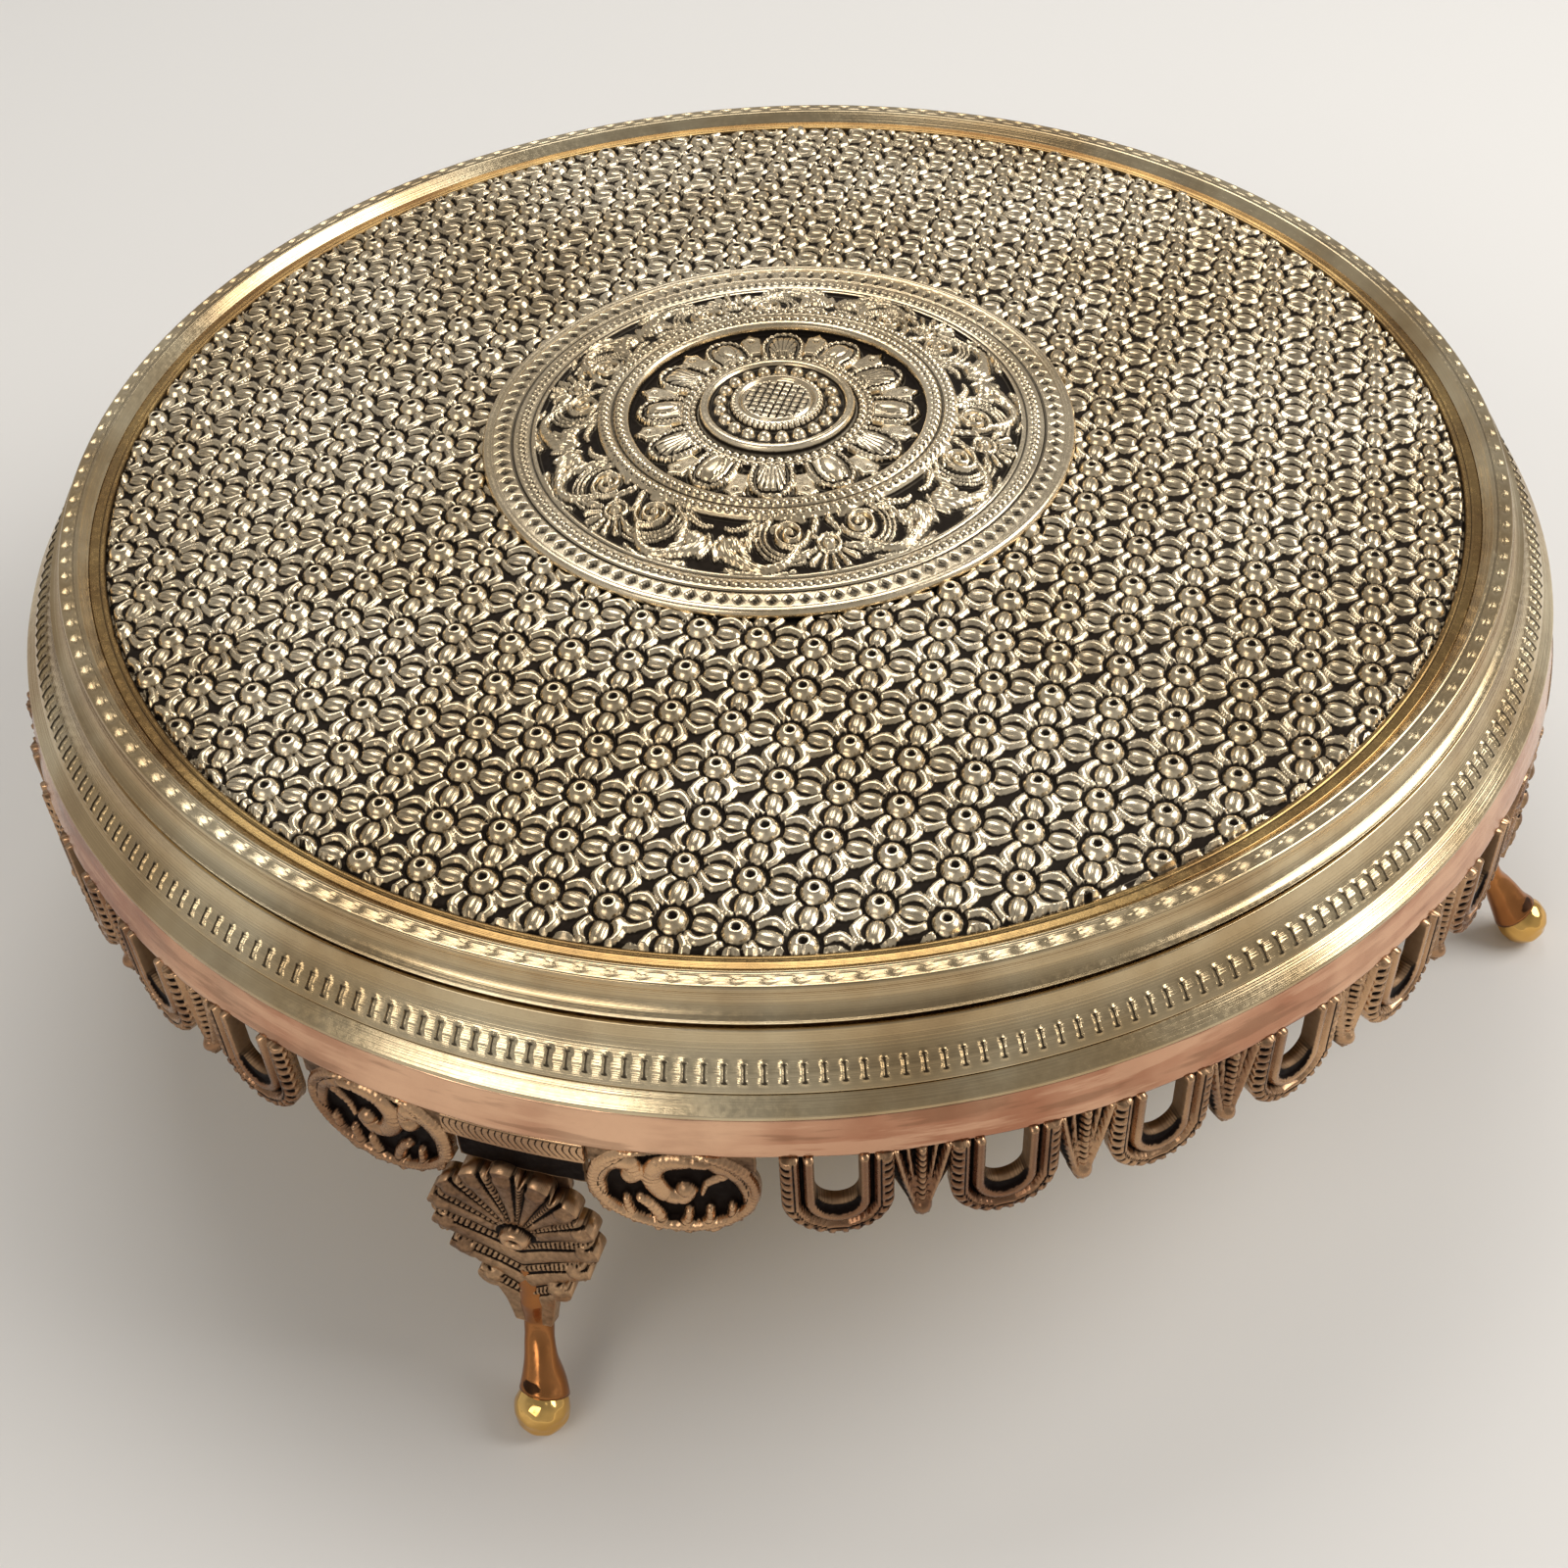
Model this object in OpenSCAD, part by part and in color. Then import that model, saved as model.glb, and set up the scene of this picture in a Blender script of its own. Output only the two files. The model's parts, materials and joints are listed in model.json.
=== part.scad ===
// Footed round spice box: a domed repousse lid over a stepped rim, a hidden pan with seven
// bowls and a spoon, a pierced cast gallery under the wall, and four palmette feet.
// Origin on the floor under the centre, +Z up, one foot on each of +X, +Y, -X and -Y.

/* [Lid] */
// Radius of the lid ring's outer top edge
lid_r = 137.2; // [100:1:180]
// Width of the lid ring's flat top
ring_top_w = 3.4; // [2.5:0.1:7]
// Height of the lid ring
ring_h = 5.6; // [4:0.1:8]
// How far the cove's foot stands out past the lid ring's top edge
cove_out = 2.8; // [1.5:0.1:4]
// Width of the ring's inner bevel, from its top to the panel
bevel_w = 1.8; // [1:0.1:4]
// How far the panel's edge lies under the ring's top
panel_sink = 2.0; // [1:0.1:2.8]
// Width of the ring's ledge under the panel
ledge_w = 2.5; // [1.5:0.1:3]
// Thickness of the repousse panel's sheet
panel_t = 1.0; // [0.6:0.1:1.6]
// Rise of the panel's dome
dome_h = 5.7; // [3:0.1:14]
// Width of the panel's flat edge
panel_flat_w = 4.0; // [3:0.1:6]
// Gap from the collar's lower edge to the pan's flange
collar_gap = 0.5; // [0.3:0.1:3]
// Thickness of the collar's sheet
collar_t = 0.8; // [0.6:0.1:1.4]
// Dark seam between lid ring and base, filled by the collar's flange
seam_h = 0.8; // [0.5:0.1:1.2]
// Thickness of the plain liner under the panel
liner_t = 0.8; // [0.6:0.1:1.2]
// How far the liner's crown lies under the panel's
liner_drop = 4.3; // [3:0.1:6]

/* [Medallion] */
// Outer radius of the medallion
medallion_r = 57; // [40:1:65]
// Height of the medallion's outer border over the panel
border_rise = 1.5; // [0.8:0.1:2.5]
// Height of the beaded ring round the lotus
inner_ring_rise = 4.6; // [2:0.1:6]
// Height of the ring that the petals grow from
petal_ring_rise = 3.4; // [1.5:0.1:5]
// Height of the hatched disc in the centre
centre_rise = 6.3; // [3:0.1:8]
// Height of the sunk ground under the petals
ground_rise = 0.6; // [0.4:0.1:1]
// Number of lotus petals
petals = 12; // [8:1:16]
// Number of large beads round the centre
centre_beads = 22; // [16:1:28]

/* [Base rim] */
// Height of the sloping band under the seam
band_h = 5.9; // [4:0.1:9]
// How far the band slopes out
band_out = 3.5; // [2:0.1:6]
// Height of the chamfer under the milled edge
chamfer_h = 2.6; // [1.5:0.1:4]
// How far the chamfer slopes out
chamfer_out = 2.1; // [1:0.1:4]
// Height of the bevelled step
step_h = 2.7; // [1.5:0.1:5]
// How far the step slopes out
step_out = 2.2; // [1.5:0.1:5]
// Height of the outer wall
wall_h = 8.5; // [6:0.1:14]
// How far the wall slopes out
wall_out = 1.7; // [0.5:0.1:3]
// Thickness of the rim's and wall's metal
rim_t = 1.5; // [1:0.1:2]
// Width of the dark groove between chamfer and step
groove_w = 0.5; // [0.3:0.1:1]

/* [Pan] */
// How far the pan's wall stands in from the base's bore
pan_inset = 5.3; // [4:0.1:12]
// Thickness of the pan's sheet
pan_t = 1.0; // [0.6:0.1:1.6]
// Depth of the pan inside
pan_depth = 26.4; // [20:0.1:40]
// Radius of the pan's bottom corner
pan_corner_r = 5; // [3:0.5:10]

/* [Gallery] */
// Height of the pierced gallery under the wall
apron_h = 19.8; // [14:0.1:26]
// Thickness of the castings' ground
apron_t = 2.4; // [1.6:0.1:3.5]
// How far the loops' bands stand proud of the ground
band_proud = 1.0; // [0.5:0.1:1.5]
// Half width of a loop's outer band
loop_half_w = 8.8; // [7:0.1:9.4]
// Width of a loop's outer band
loop_band_w = 2.8; // [2:0.1:3.4]
// Width of the groove inside the outer band
loop_groove_w = 0.9; // [0.6:0.1:1.4]
// Half width of the hole through a loop
hole_half_w = 3.5; // [2.5:0.1:4]
// Depth of the hole from the wall down
hole_h = 12; // [9:0.1:16]
// Least gap between two loops, which a dart fills
dart_gap = 8.6; // [7:0.1:12]
// Gap from the last loop to a scroll panel
end_gap = 3.0; // [1.5:0.1:6]
// Half width of a scroll panel
scroll_half_w = 13.9; // [10:0.1:15]
// Half of the gap that two scroll panels leave over a foot
foot_gap_half_w = 11.4; // [9:0.1:16]

/* [Feet] */
// Clear height under the gallery
foot_clear = 54.4; // [30:0.1:80]
// How far the ball feet stand out past the wall
foot_splay = 8.7; // [3:0.1:16]
// Radius of the ball feet
ball_r = 5.0; // [3.5:0.1:7]
// Flat worn on the bottom of a ball
ball_flat = 0.2; // [0.1:0.05:0.4]
// Radius of the stem at its neck
stem_r = 2.6; // [2:0.1:4]
// Height of the palmette
fan_h = 36; // [26:0.5:42]
// Half width of the palmette
fan_half_w = 15; // [11:0.5:18]
// Thickness of the palmette's plate
fan_t = 2.2; // [1.5:0.1:3]
// Number of lobes
lobes = 13; // [9:2:15]

/* [Bowls and spoon] */
// Headroom over the bowls, under the seam
bowl_headroom = 4.9; // [3:0.1:12]
// Thickness of a bowl's sheet
bowl_t = 0.9; // [0.6:0.1:1.4]
// How much smaller a bowl's base is than its rim, on the radius
bowl_flare = 14.4; // [8:0.1:18]
// Gap between two bowls' rims
bowl_gap = 0.6; // [0.3:0.1:2]
// Width of the spoon's handle
handle_w = 6; // [4:0.5:9]
// Thickness of the spoon
spoon_t = 1.2; // [0.8:0.1:2]
// Radius of the spoon's round bowl
scoop_r = 12; // [8:0.5:16]

/* [Hidden] */
$fn = 96;
eps = 0.01;
joint_gap = 0.1;      // side clearance of pieces that are soldered in a seat
solder_gap = 0.05;    // solder line under the pieces that lie on the dome
slide_gap = 0.4;      // clearance of the lid's collar inside the base
far = 400;            // longer than anything here, for cutting bodies
feet = 4;
quarter = 360 / feet;

// Levels, from the floor up
z_wall_bottom = foot_clear + apron_h;
z_step_edge = z_wall_bottom + wall_h;
z_step_top = z_step_edge + step_h;
z_milled = z_step_top + chamfer_h;
z_land = z_milled + band_h;
z_ring = z_land + seam_h;
z_ring_top = z_ring + ring_h;
z_panel = z_ring_top - panel_sink;
z_ledge = z_panel - panel_t;

// Radii, from the lid out
panel_seat_r = lid_r - ring_top_w - bevel_w;
panel_r = panel_seat_r - joint_gap;
dome_r = panel_r - panel_flat_w;
seam_r = lid_r + cove_out;
milled_r = seam_r + band_out;
chamfer_r = milled_r + chamfer_out;
step_r = chamfer_r + step_out;
wall_r = step_r + wall_out;
ball_reach = wall_r + foot_splay;

// The collar hangs inside the base rim, and the pan inside the collar
collar_r = dome_r + panel_flat_w / 2 + 1;
base_bore_r = collar_r + slide_gap;
collar_flange_r = seam_r - 2;
collar_h = z_land - z_step_top - collar_gap;
liner_dome_h = z_panel + dome_h - liner_drop - z_ring;
pan_r = base_bore_r - pan_inset;
pan_flange_r = chamfer_r - rim_t + joint_gap;
z_pan_floor = z_step_top - pan_depth;
shelf_w = 5;          // inward flange under the wall, which carries the castings
shelf_r = wall_r - rim_t - shelf_w;

// Scroll panels flank each foot, and the gallery's loops share what is left between them
scroll_angle = asin((foot_gap_half_w + scroll_half_w) / wall_r);
loop_span = 2 * (quarter / 2 - scroll_angle
                 - asin(scroll_half_w / wall_r) - asin((end_gap + loop_half_w) / wall_r));
loops = 1 + floor(loop_span / (2 * asin((loop_half_w + dart_gap / 2) / wall_r)));
loop_pitch = loop_span / (loops - 1);

// Seven bowls: one in the middle and six round it
side_bowls = 6;
bowl_wall_gap = 1.2;  // from the outer bowls' rims to the pan's wall
bowl_r = (pan_r - bowl_wall_gap - bowl_gap) / 3;
bowl_base_r = bowl_r - bowl_flare;
bowl_pitch = 2 * bowl_r + bowl_gap;
bowl_h = z_land - z_pan_floor - bowl_headroom;
bowl_rim_r = 1.1;

// ---- helpers ----

// Points of an arc from angle a to angle b
function arc(cx, cy, r, a, b, n = 8) =
    [for (i = [0:n]) [cx + r * cos(a + (b - a) * i / n), cy + r * sin(a + (b - a) * i / n)]];

// Height of a parabolic dome of rise h over its edge radius
function dome(r, edge_r, h) = h * (1 - pow(r / edge_r, 2));

// Radii at which the dome's profile has a point; one is the medallion's edge
dome_steps = concat(
    [for (i = [0:5]) medallion_r * i / 6],
    [for (i = [0:8]) medallion_r + (dome_r - medallion_r) * i / 8]
);
medallion_steps = [for (r = dome_steps) if (r <= medallion_r) r];

// The panel's top surface, straight between the profile's points as the solid is
function panel_z(r) = z_panel + lookup(r, [for (s = dome_steps) [s, dome(s, dome_r, dome_h)]]);

// A turned piece that lies on the panel: its profile is [radius, height above the panel]
module on_panel(profile, inner_r, outer_r) {
    under = [for (r = medallion_steps) if (r > inner_r && r < outer_r) r];
    rotate_extrude()
        polygon(concat(
            [for (p = profile) [p[0], panel_z(p[0]) + p[1]]],
            [[outer_r, panel_z(outer_r) + solder_gap]],
            [for (i = [len(under) - 1:-1:0]) [under[i], panel_z(under[i]) + solder_gap]],
            [[inner_r, panel_z(inner_r) + solder_gap]]
        ));
}

// ---- lid ----

module nakshi_panel() {
    color("darkgoldenrod")
        rotate_extrude()
            polygon(concat(
                [for (r = dome_steps) [r, panel_z(r)]],
                [[panel_r, z_panel], [panel_r, z_ledge]],
                [for (i = [len(dome_steps) - 1:-1:0]) [dome_steps[i], panel_z(dome_steps[i]) - panel_t]]
            ));
}

// Borders, beaded band and the scroll ground that climbs to the ring round the lotus
module medallion_plate() {
    rosette_r = 0.5 * medallion_r;
    groove = 0.5;
    scroll_rise = inner_ring_rise - 1.4;
    top = [
        [rosette_r + joint_gap, inner_ring_rise - groove], [0.51 * medallion_r, inner_ring_rise],
        [0.55 * medallion_r, inner_ring_rise], [0.56 * medallion_r, inner_ring_rise - groove],
        [0.57 * medallion_r, inner_ring_rise], [0.6 * medallion_r, inner_ring_rise],
        [0.61 * medallion_r, scroll_rise], [0.81 * medallion_r, ground_rise],
        [0.82 * medallion_r, border_rise], [0.895 * medallion_r, border_rise],
        [0.9 * medallion_r, border_rise - groove], [0.915 * medallion_r, border_rise - groove],
        [0.92 * medallion_r, border_rise], [0.98 * medallion_r, border_rise],
        [medallion_r, border_rise - 2 * groove]
    ];
    color("goldenrod") on_panel(top, rosette_r + joint_gap, medallion_r);
}

// A pointed petal along +X, from radius a to radius b, w wide
module petal(a, b, w) {
    n = 5;
    root_w = 0.3;
    side = [for (t = [0:1 / n:1])
        [a + (b - a) * t, w / 2 * pow(sin(180 * pow(t, 0.8)), 0.7) + root_w * (1 - t)]];
    polygon(concat(side, [for (i = [n - 1:-1:0]) [side[i][0], -side[i][1]]]));
}

// Lotus petals round a beaded ring, a row of large beads and a flat hatched centre
module lotus_rosette() {
    rosette_r = 0.5 * medallion_r;
    z_ground = panel_z(rosette_r) + ground_rise;
    petal_w = 1.9 * PI * 0.4 * medallion_r / petals;
    petal_rise = 1.6;
    petal_sink = 0.2;
    bead_circle_r = 0.19 * medallion_r;
    bead_r = 0.84 * PI * bead_circle_r / centre_beads;
    bead_ground = centre_rise - 1.9;
    top = [
        [0, centre_rise], [0.115 * medallion_r, centre_rise], [0.125 * medallion_r, centre_rise - 0.5],
        [0.145 * medallion_r, centre_rise - 0.5], [0.155 * medallion_r, bead_ground],
        [0.225 * medallion_r, bead_ground], [0.235 * medallion_r, bead_ground + 0.6],
        [0.255 * medallion_r, bead_ground + 0.6], [0.275 * medallion_r, petal_ring_rise],
        [0.32 * medallion_r, petal_ring_rise], [0.33 * medallion_r, ground_rise],
        [rosette_r, ground_rise]
    ];
    color("gold") {
        on_panel(top, 0, rosette_r);
        for (i = [0:petals - 1])
            rotate([0, 0, 360 / petals * i])
                translate([0, 0, z_ground - petal_sink])
                    linear_extrude(petal_rise + petal_sink)
                        petal(0.31 * medallion_r, 0.49 * medallion_r, petal_w);
        for (i = [0:centre_beads - 1])
            rotate([0, 0, 360 / centre_beads * i])
                translate([bead_circle_r, 0, panel_z(bead_circle_r) + bead_ground + bead_r / 2])
                    sphere(r = bead_r, $fn = 24);
    }
}

// Turned ring with a flat top, an inner bevel over a ledge for the panel, and a cove outside
module lid_ring() {
    round_r = 1.0;
    foot_h = 0.6;
    foot_flat = 0.8;
    cove = ring_h - round_r - foot_h;
    ledge_r = panel_r - ledge_w;
    color("khaki")
        rotate_extrude()
            polygon(concat(
                [[ledge_r, z_ring], [seam_r - foot_flat, z_ring], [seam_r, z_ring + foot_h]],
                [for (a = [15:15:90]) [seam_r - cove_out * sin(a), z_ring + foot_h + cove * (1 - cos(a))]],
                arc(lid_r - round_r, z_ring_top - round_r, round_r, 15, 90, 5),
                [[lid_r - ring_top_w, z_ring_top], [panel_seat_r, z_panel], [panel_seat_r, z_ledge],
                 [ledge_r, z_ledge]]
            ));
}

// Flange that fills the seam, and the collar that drops inside the base
module lid_collar() {
    color("peru")
        rotate_extrude()
            polygon([
                [collar_r - collar_t, z_ring], [collar_flange_r, z_ring], [collar_flange_r, z_land],
                [collar_r, z_land], [collar_r, z_land - collar_h],
                [collar_r - collar_t, z_land - collar_h]
            ]);
}

// Plain domed disc that closes the lid underneath, clear of the repousse's back
module lid_liner() {
    liner_r = collar_r - collar_t - joint_gap;
    liner_dome_r = dome_r - 6;
    n = 10;
    steps = [for (i = [0:n]) liner_dome_r * i / n];
    color("tan")
        rotate_extrude()
            polygon(concat(
                [for (r = steps) [r, z_ring + dome(r, liner_dome_r, liner_dome_h)]],
                [[liner_r, z_ring], [liner_r, z_ring - liner_t]],
                [for (i = [n:-1:0]) [steps[i], z_ring - liner_t + dome(steps[i], liner_dome_r, liner_dome_h)]]
            ));
}

// ---- base ----

// Hollow moulded rim: the land that the lid rests on, a hollow band, the milled edge, a chamfer
module base_rim() {
    hollow = 0.45;
    band = [for (i = [0:6]) [seam_r + band_out * i / 6 - hollow * sin(180 * i / 6),
                             z_land - band_h * i / 6 - hollow * sin(180 * i / 6)]];
    color("darkkhaki")
        rotate_extrude()
            polygon(concat(
                [[base_bore_r, z_step_top], [base_bore_r, z_land]],
                band,
                [[chamfer_r, z_step_top], [chamfer_r - rim_t * 1.3, z_step_top],
                 [milled_r - rim_t * 1.3, z_milled - rim_t / 2], [seam_r - rim_t * 1.2, z_land - rim_t],
                 [base_bore_r + rim_t, z_land - rim_t], [base_bore_r + rim_t, z_step_top]]
            ));
}

// Turned step under the rim; its top edge starts a groove's width below the chamfer
module step_ring() {
    color("khaki")
        rotate_extrude()
            polygon([
                [shelf_r - shelf_w, z_step_top - pan_t], [shelf_r - shelf_w, z_step_top - 2 * pan_t],
                [step_r - 2 * rim_t, z_step_edge - 0.8], [step_r, z_step_edge - 0.8],
                [step_r, z_step_edge], [chamfer_r - groove_w, z_step_top - groove_w],
                [pan_flange_r + joint_gap, z_step_top - pan_t]
            ]);
}

// Sheet wall with an inward shelf at its foot
module outer_wall() {
    top = z_step_edge - 0.8;
    top_r = step_r - 0.2;
    color("rosybrown")
        rotate_extrude()
            polygon([
                [top_r, top], [wall_r, z_wall_bottom], [shelf_r, z_wall_bottom],
                [shelf_r, z_wall_bottom + rim_t], [wall_r - rim_t, z_wall_bottom + rim_t],
                [top_r - rim_t, top]
            ]);
}

module pan() {
    z_out = z_pan_floor - pan_t;
    color("goldenrod")
        rotate_extrude()
            polygon(concat(
                [[0, z_out]],
                arc(pan_r + pan_t - pan_corner_r, z_out + pan_corner_r, pan_corner_r, -90, 0),
                [[pan_r + pan_t, z_step_top - pan_t], [pan_flange_r, z_step_top - pan_t],
                 [pan_flange_r, z_step_top], [pan_r, z_step_top]],
                arc(pan_r + pan_t - pan_corner_r, z_out + pan_corner_r, pan_corner_r - pan_t, 0, -90),
                [[0, z_pan_floor]]
            ));
}

// ---- gallery ----

// U shape hanging from y = 0
module u_shape(half_w, depth) {
    translate([-half_w, -depth + half_w]) square([2 * half_w, depth - half_w]);
    translate([0, -depth + half_w]) circle(r = half_w, $fn = 48);
}

// Sets a flat casting drawn in X and Y, with its back at z = 0, under the wall at an angle
module under_wall(angle) {
    rotate([0, 0, angle])
        translate([wall_r - apron_t, 0, z_wall_bottom])
            rotate([90, 0, 90]) children();
}

// One loop: an outer band, a groove and a thin inner band round an open hole
module loop_casting() {
    inner_half_w = loop_half_w - loop_band_w;
    groove_in = inner_half_w - loop_groove_w;
    depth = apron_h;
    difference() {
        union() {
            linear_extrude(apron_t) u_shape(loop_half_w, depth);
            linear_extrude(apron_t + band_proud)
                difference() {
                    u_shape(loop_half_w, depth);
                    translate([0, eps]) u_shape(inner_half_w, depth - loop_band_w + eps);
                }
            linear_extrude(apron_t + band_proud / 2)
                u_shape(groove_in, depth - loop_band_w - loop_groove_w);
        }
        translate([0, eps, -eps]) linear_extrude(far) u_shape(hole_half_w, hole_h + eps);
        translate([0, eps, apron_t - band_proud / 2])
            linear_extrude(far)
                difference() {
                    u_shape(inner_half_w, depth - loop_band_w + eps);
                    u_shape(groove_in, depth - loop_band_w - loop_groove_w + eps);
                }
    }
}

// Grooved dart that fills the gap between two loops, with a ball at its tip
module dart_casting() {
    gap_w = 2 * wall_r * tan(loop_pitch / 2) - 2 * loop_half_w;
    dart_h = 0.76 * apron_h;
    top_w = gap_w / 2 + 1;
    linear_extrude(apron_t - 0.4)
        polygon([[-top_w, 0], [-top_w, -0.45 * dart_h], [-1.6, -dart_h], [1.6, -dart_h],
                 [top_w, -0.45 * dart_h], [top_w, 0]]);
    linear_extrude(apron_t + 0.4)
        polygon([[-1.0, 0], [-0.7, -dart_h], [0.7, -dart_h], [1.0, 0]]);
    for (s = [-1, 1])
        linear_extrude(apron_t)
            polygon([[s * (top_w - 1.9), 0], [s * (top_w - 2.9), 0], [s * 1.2, -dart_h + 2.5],
                     [s * 1.7, -dart_h + 2.5]]);
    translate([0, -dart_h, apron_t / 2]) sphere(r = 1.9, $fn = 32);
}

// Pierced casting between two scroll panels: loops with a dart between each two
module gallery(i) {
    first = quarter * (i - 0.5) - loop_pitch * (loops - 1) / 2;
    color("sienna") {
        for (k = [0:loops - 1])
            under_wall(first + k * loop_pitch) loop_casting();
        for (k = [0.5:1:loops - 1.5])
            under_wall(first + k * loop_pitch) dart_casting();
    }
}

// Shoulders beside a scroll panel's oval, and the strip that runs between two of them
strip_h = 4.2;
strip_t = 1.4;
spandrel_half_w = scroll_half_w - 0.6;
scroll_half_h = 0.56 * apron_h;
scroll_cy = -0.46 * apron_h;

// Outline of a scroll panel: an oval cut off flat by the wall, with a leafy lower edge
module scroll_outline(grow = 0, top = 0) {
    a = scroll_half_w + grow;
    b = scroll_half_h + grow;
    n = 44;
    leaf = 0.35;
    polygon([for (i = [0:n - 1])
        let (t = 360 * i / n, bump = sin(t) < -0.2 ? leaf * sin(t * 18) : 0)
        [(a + bump) * cos(t), min(top, scroll_cy + (b + bump) * sin(t))]]);
}

// C scroll: most of a ring that opens at an angle and ends in a ball
module c_scroll(r, w, open, height) {
    linear_extrude(height)
        difference() {
            circle(r = r, $fn = 40);
            circle(r = r - w, $fn = 40);
            rotate(open) translate([0, -w * 0.7]) square([r * 2, w * 1.4]);
        }
    rotate(open + 38) translate([r - w / 2, 0, 0]) cylinder(r = w * 0.75, h = height + 0.3, $fn = 24);
}

// Oval acanthus panel beside a foot: rim, two volutes and leaves on a sunk ground
module scroll_panel(i) {
    hand = i % 2 == 1 ? 1 : -1;
    foot_angle = quarter * floor((i - 1) / 2);
    rim_w = 1.9;
    rib_w = 2.0;
    color("saddlebrown")
        under_wall(foot_angle - hand * scroll_angle)
            mirror([hand < 0 ? 1 : 0, 0, 0]) {
                linear_extrude(apron_t - 1.2) scroll_outline();
                linear_extrude(apron_t - 0.8)
                    translate([-spandrel_half_w, -strip_h]) square([2 * spandrel_half_w, strip_h]);
                linear_extrude(apron_t)
                    difference() {
                        scroll_outline();
                        scroll_outline(-rim_w, 1);
                    }
                translate([-5.4, scroll_cy + 2.2, 0]) c_scroll(4.7, rib_w, 200, apron_t);
                translate([4.6, scroll_cy + 2.6, 0]) c_scroll(5.0, rib_w, -30, apron_t);
                for (k = [-2:2])
                    translate([3.2 * k, -0.86 * apron_h, 0])
                        rotate(-14 * k)
                            linear_extrude(apron_t - 0.3) acanthus_leaf(6.5, 2.2);
            }
}

// Small leaf that points up from the origin
module acanthus_leaf(length, w) {
    n = 6;
    side = [for (i = [0:n]) [w / 2 * sin(180 * pow((i + 0.4) / (n + 0.4), 0.7)), length * i / n]];
    polygon(concat(side, [for (i = [n - 1:-1:0]) [-side[i][0], side[i][1]]]));
}

// Short hatched strip that closes the gap between two scroll panels above a foot
module hatched_strip(i) {
    half_angle = scroll_angle - asin((spandrel_half_w + joint_gap) / (wall_r - strip_t));
    color("sienna")
        rotate([0, 0, quarter * (i - 1) - half_angle])
            rotate_extrude(angle = 2 * half_angle)
                translate([wall_r - strip_t, z_wall_bottom - strip_h]) square([strip_t, strip_h]);
}

// ---- feet ----

// The palmette and stem share one plane, which leans out from the wall to the ball
fan_top_z = z_wall_bottom - 6;
fan_top_r = wall_r + 0.6;
foot_lean = atan((ball_reach - fan_top_r) / (fan_top_z - ball_r));
foot_len = norm([ball_reach - fan_top_r, fan_top_z - ball_r]);

lobe_r = 2.8;
fan_spread = 304;     // part of the outline that the lobes cover, open towards the stem
fan_neck_w = 6.4;
fan_pear = 1.5;       // 1 makes the outline widest at half height, more puts it higher up
boss_y = -0.49 * fan_h;

// Middle of a lobe on the palmette's pear-shaped outline, drawn inwards by inset
function lobe_at(k, inset) =
    let (t = fan_spread * (k / (lobes - 1) - 0.5))
    [(fan_half_w - inset) * sin(t), -inset - (fan_h - 2 * inset) * pow(abs(t) / 180, fan_pear)];

// Lobed outline of the palmette, drawn in X and Y with its top at y = 0
module palmette_outline() {
    centres = [for (k = [0:lobes - 1]) lobe_at(k, lobe_r)];
    for (c = centres)
        translate(c) circle(r = lobe_r, $fn = 24);
    polygon(concat(centres, [[fan_neck_w / 2, -fan_h - 2], [-fan_neck_w / 2, -fan_h - 2]]));
}

// Ribs of the palmette: the upper ones fan out from the boss, the lower ones from the spine
module palmette_ribs() {
    start = 4.4;
    rib_w = 2.5;
    rib_rise = 5;
    for (k = [0:lobes - 1]) {
        middle = lobe_at(k, lobe_r + 0.25);
        root = [0, min(boss_y, middle[1] - rib_rise)];
        tip = middle - root;
        reach = norm(tip);
        from = root[1] < boss_y ? start / 2 : start;
        translate(root) rotate(atan2(tip[1], tip[0]))
            polygon([[from, -0.15 * rib_w], [reach, -rib_w / 2], [reach + rib_w / 2, 0],
                     [reach, rib_w / 2], [from, 0.15 * rib_w]]);
    }
}

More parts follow.
